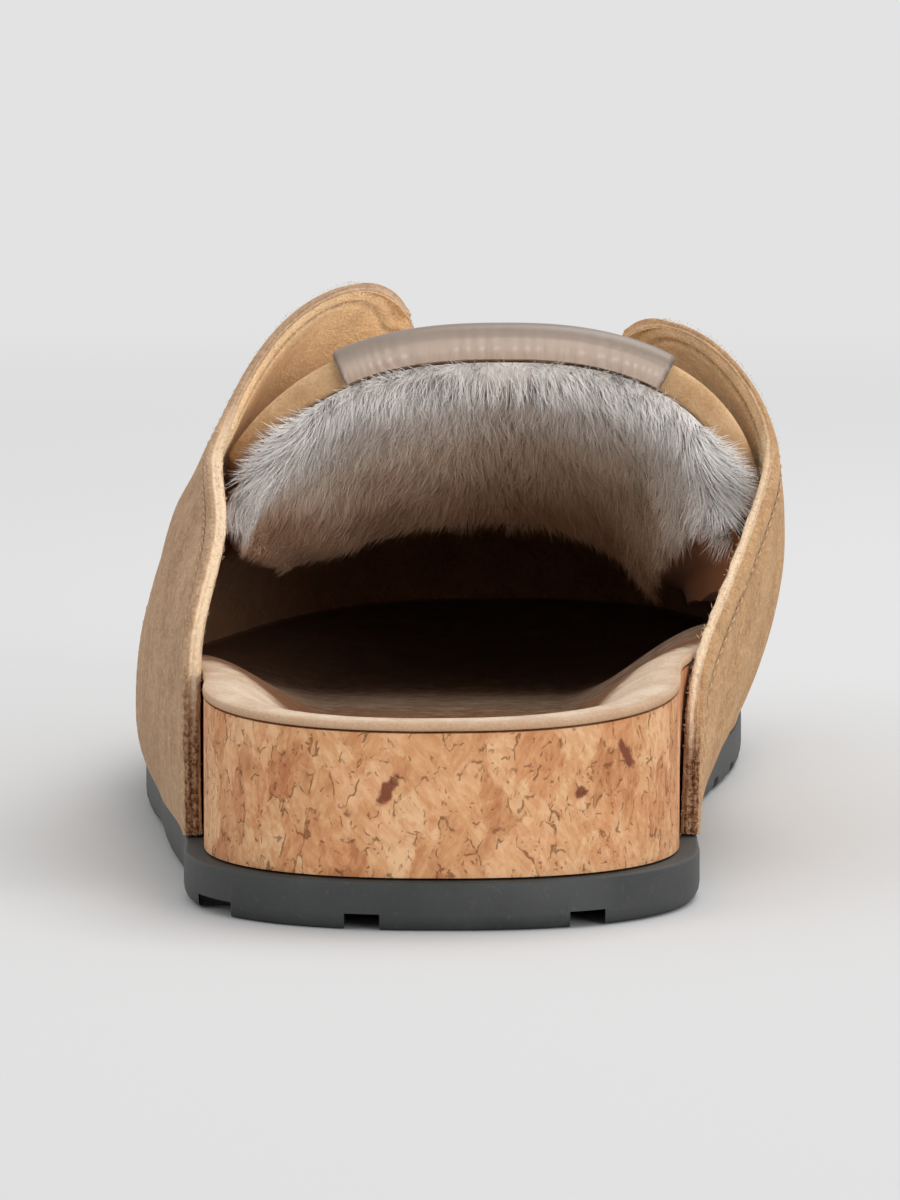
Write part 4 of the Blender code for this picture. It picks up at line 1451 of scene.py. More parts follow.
@dataclass
class Upper:
    """Suede vamp and quarters with standing ears, lined, with raw edges and topstitching."""

    last: Last
    finish: Finish = Suede()
    thread: Finish = Plain("topstitch_thread", srgb(196, 164, 128))
    fibre: Finish = Plain("edge_fibre", srgb(208, 180, 150))
    collar: tuple[Triple, ...] = (
        (0.00, 45.0, 47.0),
        (0.12, 46.5, 48.5),
        (0.22, 50.0, 52.0),
        (0.32, 62.0, 63.0),
        (0.42, 80.0, 80.0),
        (0.52, 95.0, 94.0),
        (0.64, 105.0, 104.0),
        (0.76, 110.0, 109.0),
        (0.90, 114.0, 113.0),
    )
    tip_start: float = 0.76
    tip_round: float = 14.0
    ear_lift: Pair = (11.8, 7.5)
    ear_lift_start: float = 0.46
    ear: Span = Span(0.4, 0.2)
    tuck: Pair = (2.8, 0.0)
    tuck_span: float = 32.0
    tuck_climb: tuple[float, float, float, float] = (0.18, 0.34, 0.34, 0.48)
    facings: tuple[Pair, Pair] = ((0.86, 0.91), (0.815, 0.885))
    facing_y: Pair = (116.0, 150.0)
    throat_y: float = 150.0
    throat_dip: float = 4.0
    seam_foot_y: float = 128.0
    seam_gap: float = 0.15
    step: float = 0.8
    stitch: Thread = Thread(0.78, (0.02, 0.15, 0.18, 0.15, 0.02), 0.13, 0.22, 0.16)
    stitch_inset: float = 2.7
    stitch_pitch: float = 2.3
    stitch_foot: float = 0.02
    seam_insets: Pair = (1.9, 4.1)
    groove_half: Pair = (0.55, 0.5)
    groove_deep: float = 0.28
    lining_groove: Triple = (0.35, 0.5, 0.45)
    edge_round: float = 1.1
    edge_drop: Pair = (0.45, 0.4)
    skive_span: float = 3.4
    skive_drop: Pair = (0.2, 0.6)
    edge_loops: tuple[Pair, ...] = (
        (0.12, 0.28), (0.3, 0.42), (0.46, 0.16), (0.52, 0.1), (0.6, 0.34), (0.78, 0.42), (0.92, 0.22),
    )
    edge_ragged: float = 0.16
    wave: float = 0.16
    fold_fade: Pair = (0.1, 0.12)
    fold_edge: Span = Span(1.0, 6.0)
    fold_foot: Span = Span(0.0, 0.06)
    fold_ridges: tuple[Pair, ...] = ((0.45, 1.7), (0.3, -1.7))
    fibre_count: int = 2600
    fibre_long: Triple = (0.2, 0.55, 0.6)
    fibre_spread: Triple = (0.55, 0.12, 0.06)
    fibre_less: float = 0.85
    fibre_from: Pair = (0.55, 0.2)
    fibre_radius: float = 0.05
    wall_columns: int = 54
    tip_columns: int = 26
    throat_columns: int = 18
    quarter_rows: tuple[float, int, int] = (0.1, 12, 40)
    vamp_rows: int = 90
    path_steps: tuple[int, int, int] = (260, 60, 200)
    creases: tuple[Crease, ...] = (
        Crease(Side.LATERAL, 57.0, 0.02, 0.30, 26.0, 2.6, 0.45),
        Crease(Side.LATERAL, 68.0, 0.04, 0.42, 30.0, 3.4, 0.60),
        Crease(Side.LATERAL, 84.0, 0.02, 0.46, 24.0, 4.4, 0.65),
        Crease(Side.LATERAL, 106.0, 0.05, 0.55, 16.0, 6.0, 0.50),
        Crease(Side.LATERAL, 178.0, 0.10, 0.70, -8.0, 5.0, 0.80),
        Crease(Side.LATERAL, 193.0, 0.20, 0.85, -14.0, 5.0, 0.60),
        Crease(Side.MEDIAL, 62.0, 0.03, 0.34, 24.0, 3.2, 0.50),
        Crease(Side.MEDIAL, 82.0, 0.02, 0.46, 22.0, 4.6, 0.65),
        Crease(Side.MEDIAL, 108.0, 0.08, 0.55, 14.0, 6.0, 0.45),
        Crease(Side.MEDIAL, 184.0, 0.10, 0.75, -10.0, 5.0, 0.80),
        Crease(Side.MEDIAL, 199.0, 0.20, 0.85, -12.0, 5.0, 0.60),
    )

    def facing(self, y: Array, side: Side) -> Array:
        """Climb of one facing's edge."""
        return np.interp(y, self.facing_y, side.of(self.facings))

    def collar_y(self, side: Side, climb: Array) -> Array:
        """Quarter's free edge along the length at a climb, rounded at the ear's tip.

        Args:
            side: which side.
            climb: climbs of the edge.

        Returns:
            Places along the length.
        """
        table = np.array(self.collar)
        y = through(table[:, 0], side.of((table[:, 1], table[:, 2])), climb)
        turn = np.clip((climb / side.of(self.facings)[0] - self.tip_start) / (1.0 - self.tip_start), 0.0, 1.0)
        return y + self.tip_round * (1.0 - np.sqrt(1.0 - turn**2))

    def seam_y(self, share: Array) -> Array:
        """Front edge of the quarter over the vamp, for a share of the climb to the facing."""
        return self.seam_foot_y + (self.throat_y - self.seam_foot_y) * ease(share)

    def form(self, y: Array, a: Array) -> Array:
        """The last with the ears lifted off the tongue and the collar tucked in.

        Args:
            y: places along the length.
            a: places across the last.

        Returns:
            Points.
        """
        y, a = np.broadcast_arrays(np.asarray(y, float), np.asarray(a, float))
        climb, lateral = climb_at(a), a < 0.0
        top = np.where(lateral, *(facing[0] for facing in self.facings))
        tip = ease((climb - self.ear_lift_start) / (top - self.ear_lift_start))
        back = ease((self.throat_y - y) / (self.throat_y - self.facing_y[0]))
        lift = np.where(lateral, *self.ear_lift) * tip * back
        edge = np.where(lateral, *(self.collar_y(side, climb) for side in Side))
        near = 1.0 - ease((y - edge) / self.tuck_span)
        first, full, leave, last = self.tuck_climb
        high = ease((climb - first) / (full - first)) * ease((last - climb) / (last - leave))
        lift = lift - np.where(lateral, *self.tuck) * near * high
        return self.last.point(y, a) + lift[..., None] * self.last.normal(self.last.point, y, a)

    def grid(self) -> tuple[Array, Array, Array, int, int]:
        """Places on the form in rows from the collar to the toe.

        Quarter rows leave out the throat, so no quad uses their throat columns.

        Returns:
            Places y and a, the quads, the number of quarter rows, and the number of columns of one side.
        """
        tip = np.sin(np.linspace(0.0, QUARTER_TURN, self.tip_columns + 1)[1:])
        wall = np.linspace(0.0, self.tip_start, self.wall_columns)
        climb = np.concatenate([wall, self.tip_start + (1.0 - self.tip_start) * tip])
        columns = len(climb)
        share = np.concatenate([climb, np.ones(self.throat_columns - 1), climb[::-1]])
        place = np.arange(len(share))
        lateral = place < columns
        between = np.clip((place - columns + 1) / self.throat_columns, 0.0, 1.0)
        start = np.where(lateral, *(self.collar_y(side, share * side.of(self.facings)[0]) for side in Side))
        seam = self.seam_y(share) + self.throat_dip * np.sin(math.pi * between)
        quarter = start + (seam - start) * packed_steps(*self.quarter_rows)[:, None]
        reach = np.sin(np.linspace(0.02, QUARTER_TURN, self.vamp_rows))[:, None]
        room = self.last.length - self.last.sole_edge - seam - self.seam_gap
        vamp = seam + self.seam_gap + room * (reach - reach[0]) / (1.0 - reach[0])
        y = np.concatenate([quarter, vamp])
        left, right = (self.facing(y, side) for side in Side)
        a = np.where(lateral, share * left - 1.0, 1.0 - share * right)
        a = np.where((between > 0.0) & (between < 1.0), left - 1.0 + (1.0 - right - (left - 1.0)) * between, a)
        quads = grid_quads(*y.shape)
        row, column = quads[:, 0] // len(share), quads[:, 0] % len(share)
        throat = (column >= columns - 1) & (column < columns - 1 + self.throat_columns)
        return y, a, quads[~(throat & (row < len(quarter)))], len(quarter), columns

    def folds(self, y: Array, a: Array) -> Array:
        """Creases, each a bell-shaped trough across its line with a ridge on each side, and slow waves.

        Args:
            y: places along the length.
            a: places across the last.

        Returns:
            Heights out of the suede.
        """
        climb = climb_at(a)
        start, end = self.fold_fade
        total = self.wave * waves(0.13 * y + 5.0 * a, 0.07 * y - 7.0 * a + 1.0)
        for c in self.creases:
            here = (a < 0.0) == (c.side is Side.LATERAL)
            fade = Span(c.low, start).up(climb) * Span(c.high, end).down(climb)
            across = (y - c.y - c.slope * (climb - c.low)) / c.wide
            ridges = sum(high * hump(across - place) for high, place in self.fold_ridges)
            total = total - here * fade * c.deep * (hump(across) - ridges)
        return total

    def edge_path(self, side: Side) -> tuple[Array, Array]:
        """Places y and a along one quarter's free edge, from the sole up to the ear's tip and on to the throat.

        Args:
            side: which side.

        Returns:
            Places y and a.
        """
        rise, tail, _ = self.path_steps
        climb = np.sin(np.linspace(0.0, QUARTER_TURN, rise)) * side.of(self.facings)[0]
        y = self.collar_y(side, climb)
        on = np.linspace(y[-1], self.throat_y, tail)[1:]
        climb = np.concatenate([climb, self.facing(on, side)])
        return np.concatenate([y, on]), side.value * (1.0 - climb)

    def seam_path(self, side: Side) -> tuple[Array, Array]:
        """Places y and a along one quarter's front edge, from the sole to the throat.

        Args:
            side: which side.

        Returns:
            Places y and a.
        """
        share = np.linspace(0.03, 1.0, self.path_steps[2])
        y = self.seam_y(share)
        return y, side.value * (1.0 - share * self.facing(y, side))

    def beside(self, y: Array, a: Array, inset: float) -> tuple[Array, Array]:
        """Moves a path on the form to its side by a distance measured on the surface.

        The step across the path is solved for in the form's two slopes.

        Args:
            y: places along the length.
            a: places across the last.
            inset: distance, positive to the left of the path seen from outside.

        Returns:
            The new places.
        """
        along = unit(np.gradient(self.form(y, a), axis=0))
        side = np.cross(self.last.normal(self.form, y, a), along) * inset
        step_y, step_a = self.last.probe
        by_y = (self.form(y + step_y, a) - self.form(y - step_y, a)) / (2.0 * step_y)
        by_a = (self.form(y, a + step_a / 2.0) - self.form(y, a - step_a / 2.0)) / step_a
        yy, ya, aa = (by_y**2).sum(-1), (by_y * by_a).sum(-1), (by_a**2).sum(-1)
        sy, sa = (by_y * side).sum(-1), (by_a * side).sum(-1)
        area = yy * aa - ya**2
        return y + (aa * sy - ya * sa) / area, a + (yy * sa - ya * sy) / area

    def distance(self, points: Array, paths: list[tuple[Array, Array]]) -> Array:
        """Distance from points to the nearest of some paths on the form.

        Args:
            points: the points.
            paths: places y and a of each path.

        Returns:
            Distances.
        """
        lines = np.concatenate([self.form(y, a) for y, a in paths]).astype(np.float32)
        flat = points.reshape(-1, 3).astype(np.float32)
        square = (flat**2).sum(1)[:, None] + (lines**2).sum(1)[None] - 2.0 * flat @ lines.T
        return np.sqrt(np.maximum(square.min(1), 0.0)).reshape(points.shape[:-1])

    def outward(self, points: Array, quarter: int, columns: int) -> Array:
        """Directions out of the sheet along its free edges, and nothing elsewhere.

        Args:
            points: grid of the sheet.
            quarter: number of its quarter rows.
            columns: number of the columns of one side.

        Returns:
            Grid of directions.
        """
        out = np.zeros_like(points)
        out[0] = unit(points[0] - points[1])
        for edge, inner in ((columns - 1, columns - 2), (-columns, 1 - columns)):
            out[:quarter, edge] = unit(out[:quarter, edge] + unit(points[:quarter, edge] - points[:quarter, inner]))
        throat = slice(columns, len(points[0]) - columns)
        out[quarter, throat] = unit(points[quarter, throat] - points[quarter + 1, throat])
        out[:, [0, -1]] *= 0.0
        return out

    def build(self) -> list[bpy.types.Object]:
        """Wall from an outer face with step, grooves and folds, over a doubled cut edge, to the lining.

        Returns:
            The upper, its stitches and its loose fibres.
        """
        y, a, quads, quarter, columns = self.grid()
        flat = self.form(y, a)
        edge = self.distance(flat, [self.edge_path(s) for s in Side])
        seam = self.distance(flat, [self.seam_path(s) for s in Side])
        on_quarter = (np.arange(len(y)) < quarter)[:, None] + 0.0 * y
        edge_half, seam_half = self.groove_half
        rows = [hump((edge - self.stitch_inset) / edge_half)]
        rows += [hump((seam - inset) / seam_half) for inset in self.seam_insets]
        groove = np.maximum.reduce(rows) * on_quarter
        rounding = (1.0 - np.clip(edge / self.edge_round, 0.0, 1.0)) ** 2 * on_quarter
        free = self.fold_edge.up(edge) * self.fold_foot.up(climb_at(a))
        ear = self.ear.up(climb_at(a)) * on_quarter
        skived = ear * (1.0 - ease(edge / self.skive_span))
        (round_out, round_in), (skive_out, skive_in) = self.edge_drop, self.skive_drop
        outer = on_quarter * self.step + self.folds(y, a) * free - self.groove_deep * groove
        outer = outer - round_out * rounding - skive_out * skived
        high, nearer, half = self.lining_groove
        sewn = hump((edge - self.stitch_inset + nearer) / half) * ear
        deep = self.last.wall - high * sewn - round_in * rounding - skive_in * skived
        faces = [self.last.sunk(self.form, y, a, -outer), self.last.sunk(self.form, y, a, deep)]
        for face in faces:
            face[..., 2] = np.maximum(face[..., 2], self.last.sole_top(face[..., 1]) + self.last.gap)
        out = self.outward(flat, quarter, columns)
        ragged = self.edge_ragged * waves(23.0 * a + 0.9 * y, 61.0 * a - 0.4 * y)
        levels = [faces[0]]
        for share, reach in self.edge_loops:
            past = reach + ragged * (share > 0.5)
            levels.append(faces[0] + (faces[1] - faces[0]) * share + out * past[..., None])
        layers = [0.0, *(share for share, _ in self.edge_loops), 1.0]
        values = {
            "layer": [share + 0.0 * y for share in layers],
            "rise": [climb_at(a)] * len(layers),
            "seam": [groove, *([0.0 * y] * len(self.edge_loops)), sewn],
        }
        upper = closed_wall([*levels, faces[1]], quads, values).build("upper_suede", self.finish, "upper", "upper")
        return [upper, self.stitches(), self.fibres()]

    def stitches(self) -> bpy.types.Object:
        """Topstitching: short bowed threads along the free edges and in two rows along the seams.

        Returns:
            All threads as one piece.
        """
        plans = []
        for side in Side:
            rows = [(self.edge_path(side), -self.stitch_inset)]
            rows += [(self.seam_path(side), inset) for inset in self.seam_insets]
            for path, inset in rows:
                y, a = self.beside(*path, inset * side.value)
                keep = (climb_at(a) > self.stitch_foot) & (y < self.throat_y + 2.0)
                y, a = even_path(self.form(y[keep], a[keep]), self.stitch_pitch, y[keep], a[keep])
                plans.append(self.thread_row(y, a))
        return joined(plans).build("topstitching", self.thread, "upper")

    def thread_row(self, y: Array, a: Array) -> MeshPlan:
        """A thread at each place of a path: a six-sided tube that bows out of the suede and closes at its ends.

        Args:
            y: places along the length.
            a: places across the last.

        Returns:
            The threads.
        """
        shape = self.stitch
        middle = self.last.sunk(self.form, y, a, -(self.step - shape.sunk) + 0.0 * y)
        normal = self.last.normal(self.form, y, a)
        along = unit(np.gradient(middle, axis=0))
        sides, rings = 6, len(shape.radius)
        run = np.linspace(-1.0, 1.0, rings)
        turn = np.arange(sides) * (2.0 * math.pi / sides)
        spine = middle[:, None] + along[:, None] * (shape.half * run)[None, :, None]
        spine = spine + normal[:, None] * (shape.bow - shape.drop * run**2)[None, :, None]
        ring = normal[:, None] * np.cos(turn)[None, :, None]
        ring = ring + np.cross(along, normal)[:, None] * np.sin(turn)[None, :, None]
        points = spine[:, :, None] + np.array(shape.radius)[None, :, None, None] * ring[:, None]
        first = np.arange(rings - 1)[:, None] * sides
        i, j = first + np.arange(sides), first + (np.arange(sides) + 1) % sides
        tube = np.stack([i, j, j + sides, i + sides], axis=-1).reshape(-1, 4)
        start, end = np.array([[3, 2, 1, 0], [5, 4, 3, 0]]), np.array([[0, 1, 2, 3], [3, 4, 5, 0]])
        each = np.concatenate([tube, start, end + sides * (rings - 1)])
        faces = each + sides * rings * np.arange(len(y))[:, None, None]
        return MeshPlan(points.reshape(-1, 3), [faces.reshape(-1, 4)])

    def fibres(self) -> bpy.types.Object:
        """Loose fibres along the raw edges: short hairs from the cut face, pointing out of the sheet."""
        draw = np.random.default_rng(7)
        return joined([self.fringe(side, draw) for side in Side]).build("edge_fibres", self.fibre, "upper")

    def fringe(self, side: Side, draw: np.random.Generator) -> MeshPlan:
        """Fibres of one quarter: longest on the lining's half of the edge, and nearly none on the ear.

        Args:
            side: which quarter.
            draw: source of chance.

        Returns:
            The fibres as spikes.
        """
        count = self.fibre_count
        short, long, more = self.fibre_long
        spread, bent, kinked = self.fibre_spread
        path = self.edge_path(side)
        at = np.sort(draw.uniform(0.0, len(path[0]) - 1.0, count))
        y, a = (np.interp(at, np.arange(len(v)), v) for v in path)
        share = draw.uniform(0.0, 1.0, count)
        roots = self.last.sunk(self.form, y, a, -self.step + (self.step + self.last.wall) * share)
        along = unit(np.gradient(self.form(y, a), axis=0))
        out = np.cross(self.last.normal(self.form, y, a), along) * side.value
        climb = climb_at(a)
        inner, foot = self.fibre_from
        reach = draw.uniform(short, long, count)
        reach = reach + more * draw.uniform(0.0, 1.0, count) ** 3 * (share > inner) * (climb > foot)
        reach = reach * (1.0 - self.fibre_less * self.ear.up(climb))
        way = unit(out + draw.normal(0.0, spread, (count, 3)))
        tips = roots + way * reach[:, None] + draw.normal(0.0, bent, (count, 3))
        middles = (roots + tips) / 2.0 + draw.normal(0.0, kinked, (count, 3))
        return spikes(roots, middles, tips, np.full(count, self.fibre_radius), {})


@dataclass
class Tongue:
    """Padded suede tongue with a smooth band folded over its back edge."""

    last: Last
    suede: Finish = Nap(
        "tongue_suede", srgb(184, 146, 106), srgb(221, 188, 148), srgb(150, 112, 76), patch=Grain(5.0, 4.0)
    )
    leather: Finish = Satin()
    span: Pair = (99.0, 166.0)
    thick_middle: float = 4.6
    thick_side: float = 3.4
    climbs: Pair = (0.47, 0.42)
    bow: float = 3.0
    fill: float = 0.6
    pad_steps: tuple[int, int] = (64, 140)
    pad_size: Pair = (66.0, 45.0)
    pad_round: float = 1.9
    pad_edge: Pair = (1.6, 0.6)
    pad_soft: Pair = (0.18, 6.0)
    band_climbs: Pair = (0.75, 0.765)
    band_y: float = 13.0
    band_thick: float = 0.9
    band_bulge: float = 0.7
    band_round: Pair = (2.0, 1.6)
    band_steps: tuple[int, int, int] = (16, 12, 14)
    band_end: Triple = (0.035, 0.45, 0.02)
    pucker: float = 0.22
    pucker_span: Span = Span(0.45, 0.5)
    sewn_span: Span = Span(0.9, 0.1)
    sewn_less: float = 0.6

    def across(self, a: Array) -> Array:
        """Share from the tongue's middle (0) to its side edges (-1 and 1) and on past them."""
        return np.where(a < 0.0, *(a / (1.0 - climb) for climb in self.climbs))

    def back(self, a: Array) -> Array:
        """Back edge of the tongue, bowed to the rear in the middle."""
        return self.span[0] - self.bow * (1.0 - np.minimum(self.across(a) ** 2, 1.0))

    def thick(self, a: Array) -> Array:
        """Padding of the tongue: full in the middle and thin at its side edges."""
        share = 1.0 - np.minimum(np.abs(self.across(a)), 1.0) ** 3
        return self.thick_side + (self.thick_middle - self.thick_side) * share

    def spread(self, q: Array, climbs: Pair) -> Array:
        """Places a across the instep for shares from -1 to 1 between two climbs."""
        return q * np.where(q < 0.0, *(1.0 - climb for climb in climbs))

    def build(self) -> list[bpy.types.Object]:
        """Pad with round edges: its faces come together towards each edge along half an ellipse.

        Returns:
            The pad and the band.
        """
        rows, columns = self.pad_steps
        q = packed_steps(0.04, 8, columns - 16)[None, :] * 2.0 - 1.0
        t, a = np.broadcast_arrays(packed_steps(0.06, 8, rows - 16)[:, None], self.spread(q, self.climbs))
        back = self.back(a)
        y = back + (self.span[1] - back) * t
        long, wide = self.pad_size
        near = np.minimum(np.minimum(t, 1.0 - t) * long, (1.0 - np.abs(self.across(a))) * wide)
        inward = 1.0 - np.clip(near / self.pad_round, 0.0, 1.0)
        round_edge = 0.5 - 0.5 * np.sqrt(np.clip(1.0 - inward**2, 0.0, 1.0))
        top, thick = self.last.wall + self.last.gap, self.thick(a)
        high, fade = self.pad_soft
        soft = high * waves(0.5 * y + 9.0 * a, 17.0 * a + 1.0) * np.clip(near / fade, 0.0, 1.0)
        levels = [
            self.last.under(y, a, top + thick * round_edge + np.maximum(soft, 0.0)),
            self.last.under(y, a, top + thick * (1.0 - round_edge)),
        ]
        span, shade = self.pad_edge
        plan = closed_wall(levels, grid_quads(*y.shape), {"edge": [np.clip(1.0 - near / span, 0.0, 1.0) * shade] * 2})
        pad = plan.build("tongue_pad", self.suede, "tongue", "tongue")
        return [pad, self.band()]

    def fold(self, a: Array, offset: float) -> tuple[Array, Array]:
        """The band's section at an offset out from the tongue: along its top, round its back edge and down its face.

        Args:
            a: places across the instep, in a row.
            offset: 0 for the face on the tongue, the band's thickness for the outer one.

        Returns:
            Places along the length and depths under the last, in rows along the section.
        """
        rear, over = self.back(a) - self.last.gap, self.last.wall + 0.0 * a
        wide, tall = self.band_round
        ends = (1.0, QUARTER_TURN, 1.0)
        run, turn, drop = (np.linspace(0.0, end, n)[:, None] for end, n in zip(ends, self.band_steps))
        turn, drop = turn[1:], drop[1:]
        flat_y, flat_deep = rear + self.band_y + (wide - self.band_y) * run, over - offset + 0.0 * run
        round_y = rear + wide - (wide + offset) * np.sin(turn)
        round_deep = over + tall - (tall + offset) * np.cos(turn)
        end = self.last.wall + self.last.gap + self.thick(a)
        face_y = rear - offset - self.band_bulge * (offset > 0.0) * np.sin(math.pi * drop)
        face_deep = over + tall + (end - over - tall) * drop
        return np.concatenate([flat_y, round_y, face_y]), np.concatenate([flat_deep, round_deep, face_deep])

    def band(self) -> bpy.types.Object:
        """The folded band, puckered along its sewn lower edge, with a dark seam at each end.

        Returns:
            The band.
        """
        q = packed_steps(0.04, 6, 150) * 2.0 - 1.0
        a = self.spread(q, self.band_climbs)[None, :]
        (outer_y, outer_deep), (inner_y, inner_deep) = self.fold(a, self.band_thick), self.fold(a, 0.0)
        down = np.linspace(0.0, 1.0, len(outer_y))[:, None]
        low = self.pucker_span.up(down)
        ripple = np.sin(84.0 * q + 5.0 * np.sin(7.0 * q))[None, :] * (0.6 + 0.4 * np.sin(11.0 * q + 2.0))[None, :]
        outer_y = outer_y - self.pucker * ripple * low * (1.0 - self.sewn_less * self.sewn_span.up(down))
        end_span, end_drop, seam = self.band_end
        ends = ease((1.0 - np.abs(q)) / end_span)[None, :]
        outer_deep = outer_deep + end_drop * (1.0 - ends)
        spread = a + 0.0 * down
        levels = [self.last.under(outer_y, spread, outer_deep), self.last.under(inner_y, spread, inner_deep)]
        sewn = hump((1.0 - np.abs(q)) / seam)[None, :] + 0.0 * down
        values = {"edge": [sewn, sewn], "low": [low + 0.0 * spread] * 2}
        plan = closed_wall(levels, grid_quads(*spread.shape)[:, ::-1], values)
        return plan.build("tongue_band_leather", self.leather, "tongue_band", "tongue_band")


class Zone(Enum):
    """Stretches of the fur, as shares of the way from its back edge to its front end, and their hairs."""

    BACK = (0.0, 0.3, 19500)
    MIDDLE = (0.3, 0.66, 19500)
    DEEP = (0.66, 1.0, 15000)


@dataclass
class FurLining:
    """Fur under the tongue: a pelt with hairs that hang from it and lean outwards."""

    last: Last
    tongue: Tongue
    finish: Finish = Fur()
    setback: float = 0.6
    end_y: float = 164.0
    back_share: float = 0.12
    pelt: Pair = (3.4, 4.6)
    pelt_shade: Pair = (0.25, 0.45)
    climbs: Pair = (0.37, 0.30)
    front_climbs: Pair = (0.55, 0.30)
    clear: Pair = (3.2, 0.4)
    clear_span: Span = Span(1.12, 0.08)
    hair_long: Pair = (4.2, 6.2)
    hair_radius: Pair = (0.06, 0.11)
    hair_probe: float = 0.004
    flare: Pair = (1.1, 2.4)
    flare_long: float = 0.35
    flare_u: Span = Span(0.42, 0.3)
    flare_a: Span = Span(0.6, 0.1)
    flare_s: Span = Span(0.16, 0.14)
    hair_edge: Span = Span(0.8, 0.05)
    edge_rim: Span = Span(0.2, 0.15)
    edge_ragged: Pair = (0.04, 0.05)
    stand: float = 0.6
    clump: float = 0.4
    sag: float = 0.4
    spread: float = 0.2
    rim: Span = Span(0.05, 0.04)
    rim_less: float = 0.25
    fine: Span = Span(0.3, 0.22)
    fine_less: Pair = (0.22, 0.36)
    side_less: float = 0.35
    side_u: Span = Span(-0.62, 0.3)
    side_start: Span = Span(0.06, 0.15)
    turn_in: Span = Span(-0.8, 0.15)
    settle: Span = Span(0.0, 0.3)
    lean_out: Triple = (0.9, 0.3, 1.1)
    lean_down: Triple = (0.7, 0.25, 0.18)
    bend_share: Triple = (0.26, 0.6, 0.3)
    tone_shares: Pair = (0.6, 0.4)
    guard_tone: float = 0.03
    guard_share: Triple = (0.03, 0.27, 0.45)
    guard_span: Span = Span(0.17, 0.1)
    # Painted warm bounce light and brown shade: where it comes in along the fur, and how much more there is on the
    # lateral side past the back rim.
    shade_span: Span = Span(0.0, 0.9)
    corner_shade: float = 0.6
    corner_shade_side: Span = Span(-0.6, 0.3)
    corner_shade_start: Span = Span(0.08, 0.15)
    flare_way: Triple = (0.0, -0.9, 0.0)
    fringe_way: Triple = (0.0, -0.4, 1.5)
    fringe_most: float = 0.9
    tufts: tuple[int, int] = (70, 34)

    def top(self, a: Array) -> Array:
        """Depth of the pelt's upper face: under the tongue, and nearer the quarters past its sides.

        Args:
            a: places across the last.

        Returns:
            Depths under the last.
        """
        under = self.clear_span.down(np.abs(self.tongue.across(a)))
        clear = np.where(a < 0.0, *self.clear)
        return self.last.wall + 2.0 * self.last.gap + clear + (self.tongue.thick(a) - clear) * under

    def places(self, u: Array, s: Array) -> tuple[Array, Array, Array]:
        """Places on the pelt: a quarter ellipse round its back edge, then on to its front end.

        Args:
            u: share across, -1 at the lateral and 1 at the medial side edge.
            s: share along, 0 at the tongue's back edge.

        Returns:
            Places y and a, and depths under the last.
        """
        t = np.clip((s - self.back_share) / (1.0 - self.back_share), 0.0, 1.0)
        turn = np.clip(s / self.back_share, 0.0, 1.0) * math.pi / 2.0
        reach = [1.0 - back - (front - back) * ease(t) for back, front in zip(self.climbs, self.front_climbs)]
        a = u * np.where(u < 0.0, *reach)
        first, last = self.pelt
        back = self.tongue.back(a) + self.setback
        y = back + first * (1.0 - np.cos(turn)) + (self.end_y - back - first) * t
        return y, a, self.top(a) + (first + (last - first) * t) * np.sin(turn)

    def face(self, u: Array, s: Array) -> Array:
        """Points on the pelt's hairy face."""
        return self.last.under(*self.places(u, s))

    def build(self) -> list[bpy.types.Object]:
        """The pelt, and its hairs in three stretches.

        Returns:
            The pelt and its hairs.
        """
        s, u = np.broadcast_arrays(packed_steps(0.12, 14, 30)[:, None], np.linspace(-1.0, 1.0, 120)[None, :])
        y, a, deep = self.places(u, s)
        tip, tone = self.pelt_shade
        values = {
            "tip": [tip + 0.0 * y] * 2,
            "tone": [tone + 0.0 * y] * 2,
            # Painted warm bounce light and brown shade deep in the shoe.
            "deep": [self.shade_span.up(s)] * 2,
            "bare": [self.hair_edge.up(u)] * 2,
        }
        levels = [self.last.under(y, a, depth) for depth in (self.top(a), deep)]
        plan = closed_wall(levels, grid_quads(*y.shape), values)
        pieces = [plan.build("fur_pelt", self.finish, "tongue_fur", "tongue_fur")]
        draw = np.random.default_rng(11)
        for zone in Zone:
            pieces.append(self.hairs(zone, draw).build(f"fur_{zone.name.lower()}", self.finish, "tongue_fur"))
        return pieces

    def directions(self, u: Array, s: Array) -> tuple[Array, Array, Array]:
        """Directions on the pelt's hairy face: off it, across it and along it.

        Args:
            u: shares across.
            s: shares along.

        Returns:
            The three directions.
        """
        d = self.hair_probe
        across = self.face(u + d, s) - self.face(u - d, s)
        along = self.face(u, s + d) - self.face(u, np.maximum(s - d, 0.0))
        off = unit(np.cross(across, along))
        y, a, _ = self.places(u, s)
        inward = (off * (self.face(u, s) - self.last.point(y, a))).sum(-1, keepdims=True)
        return off * np.sign(inward + TINY), unit(across), unit(along)

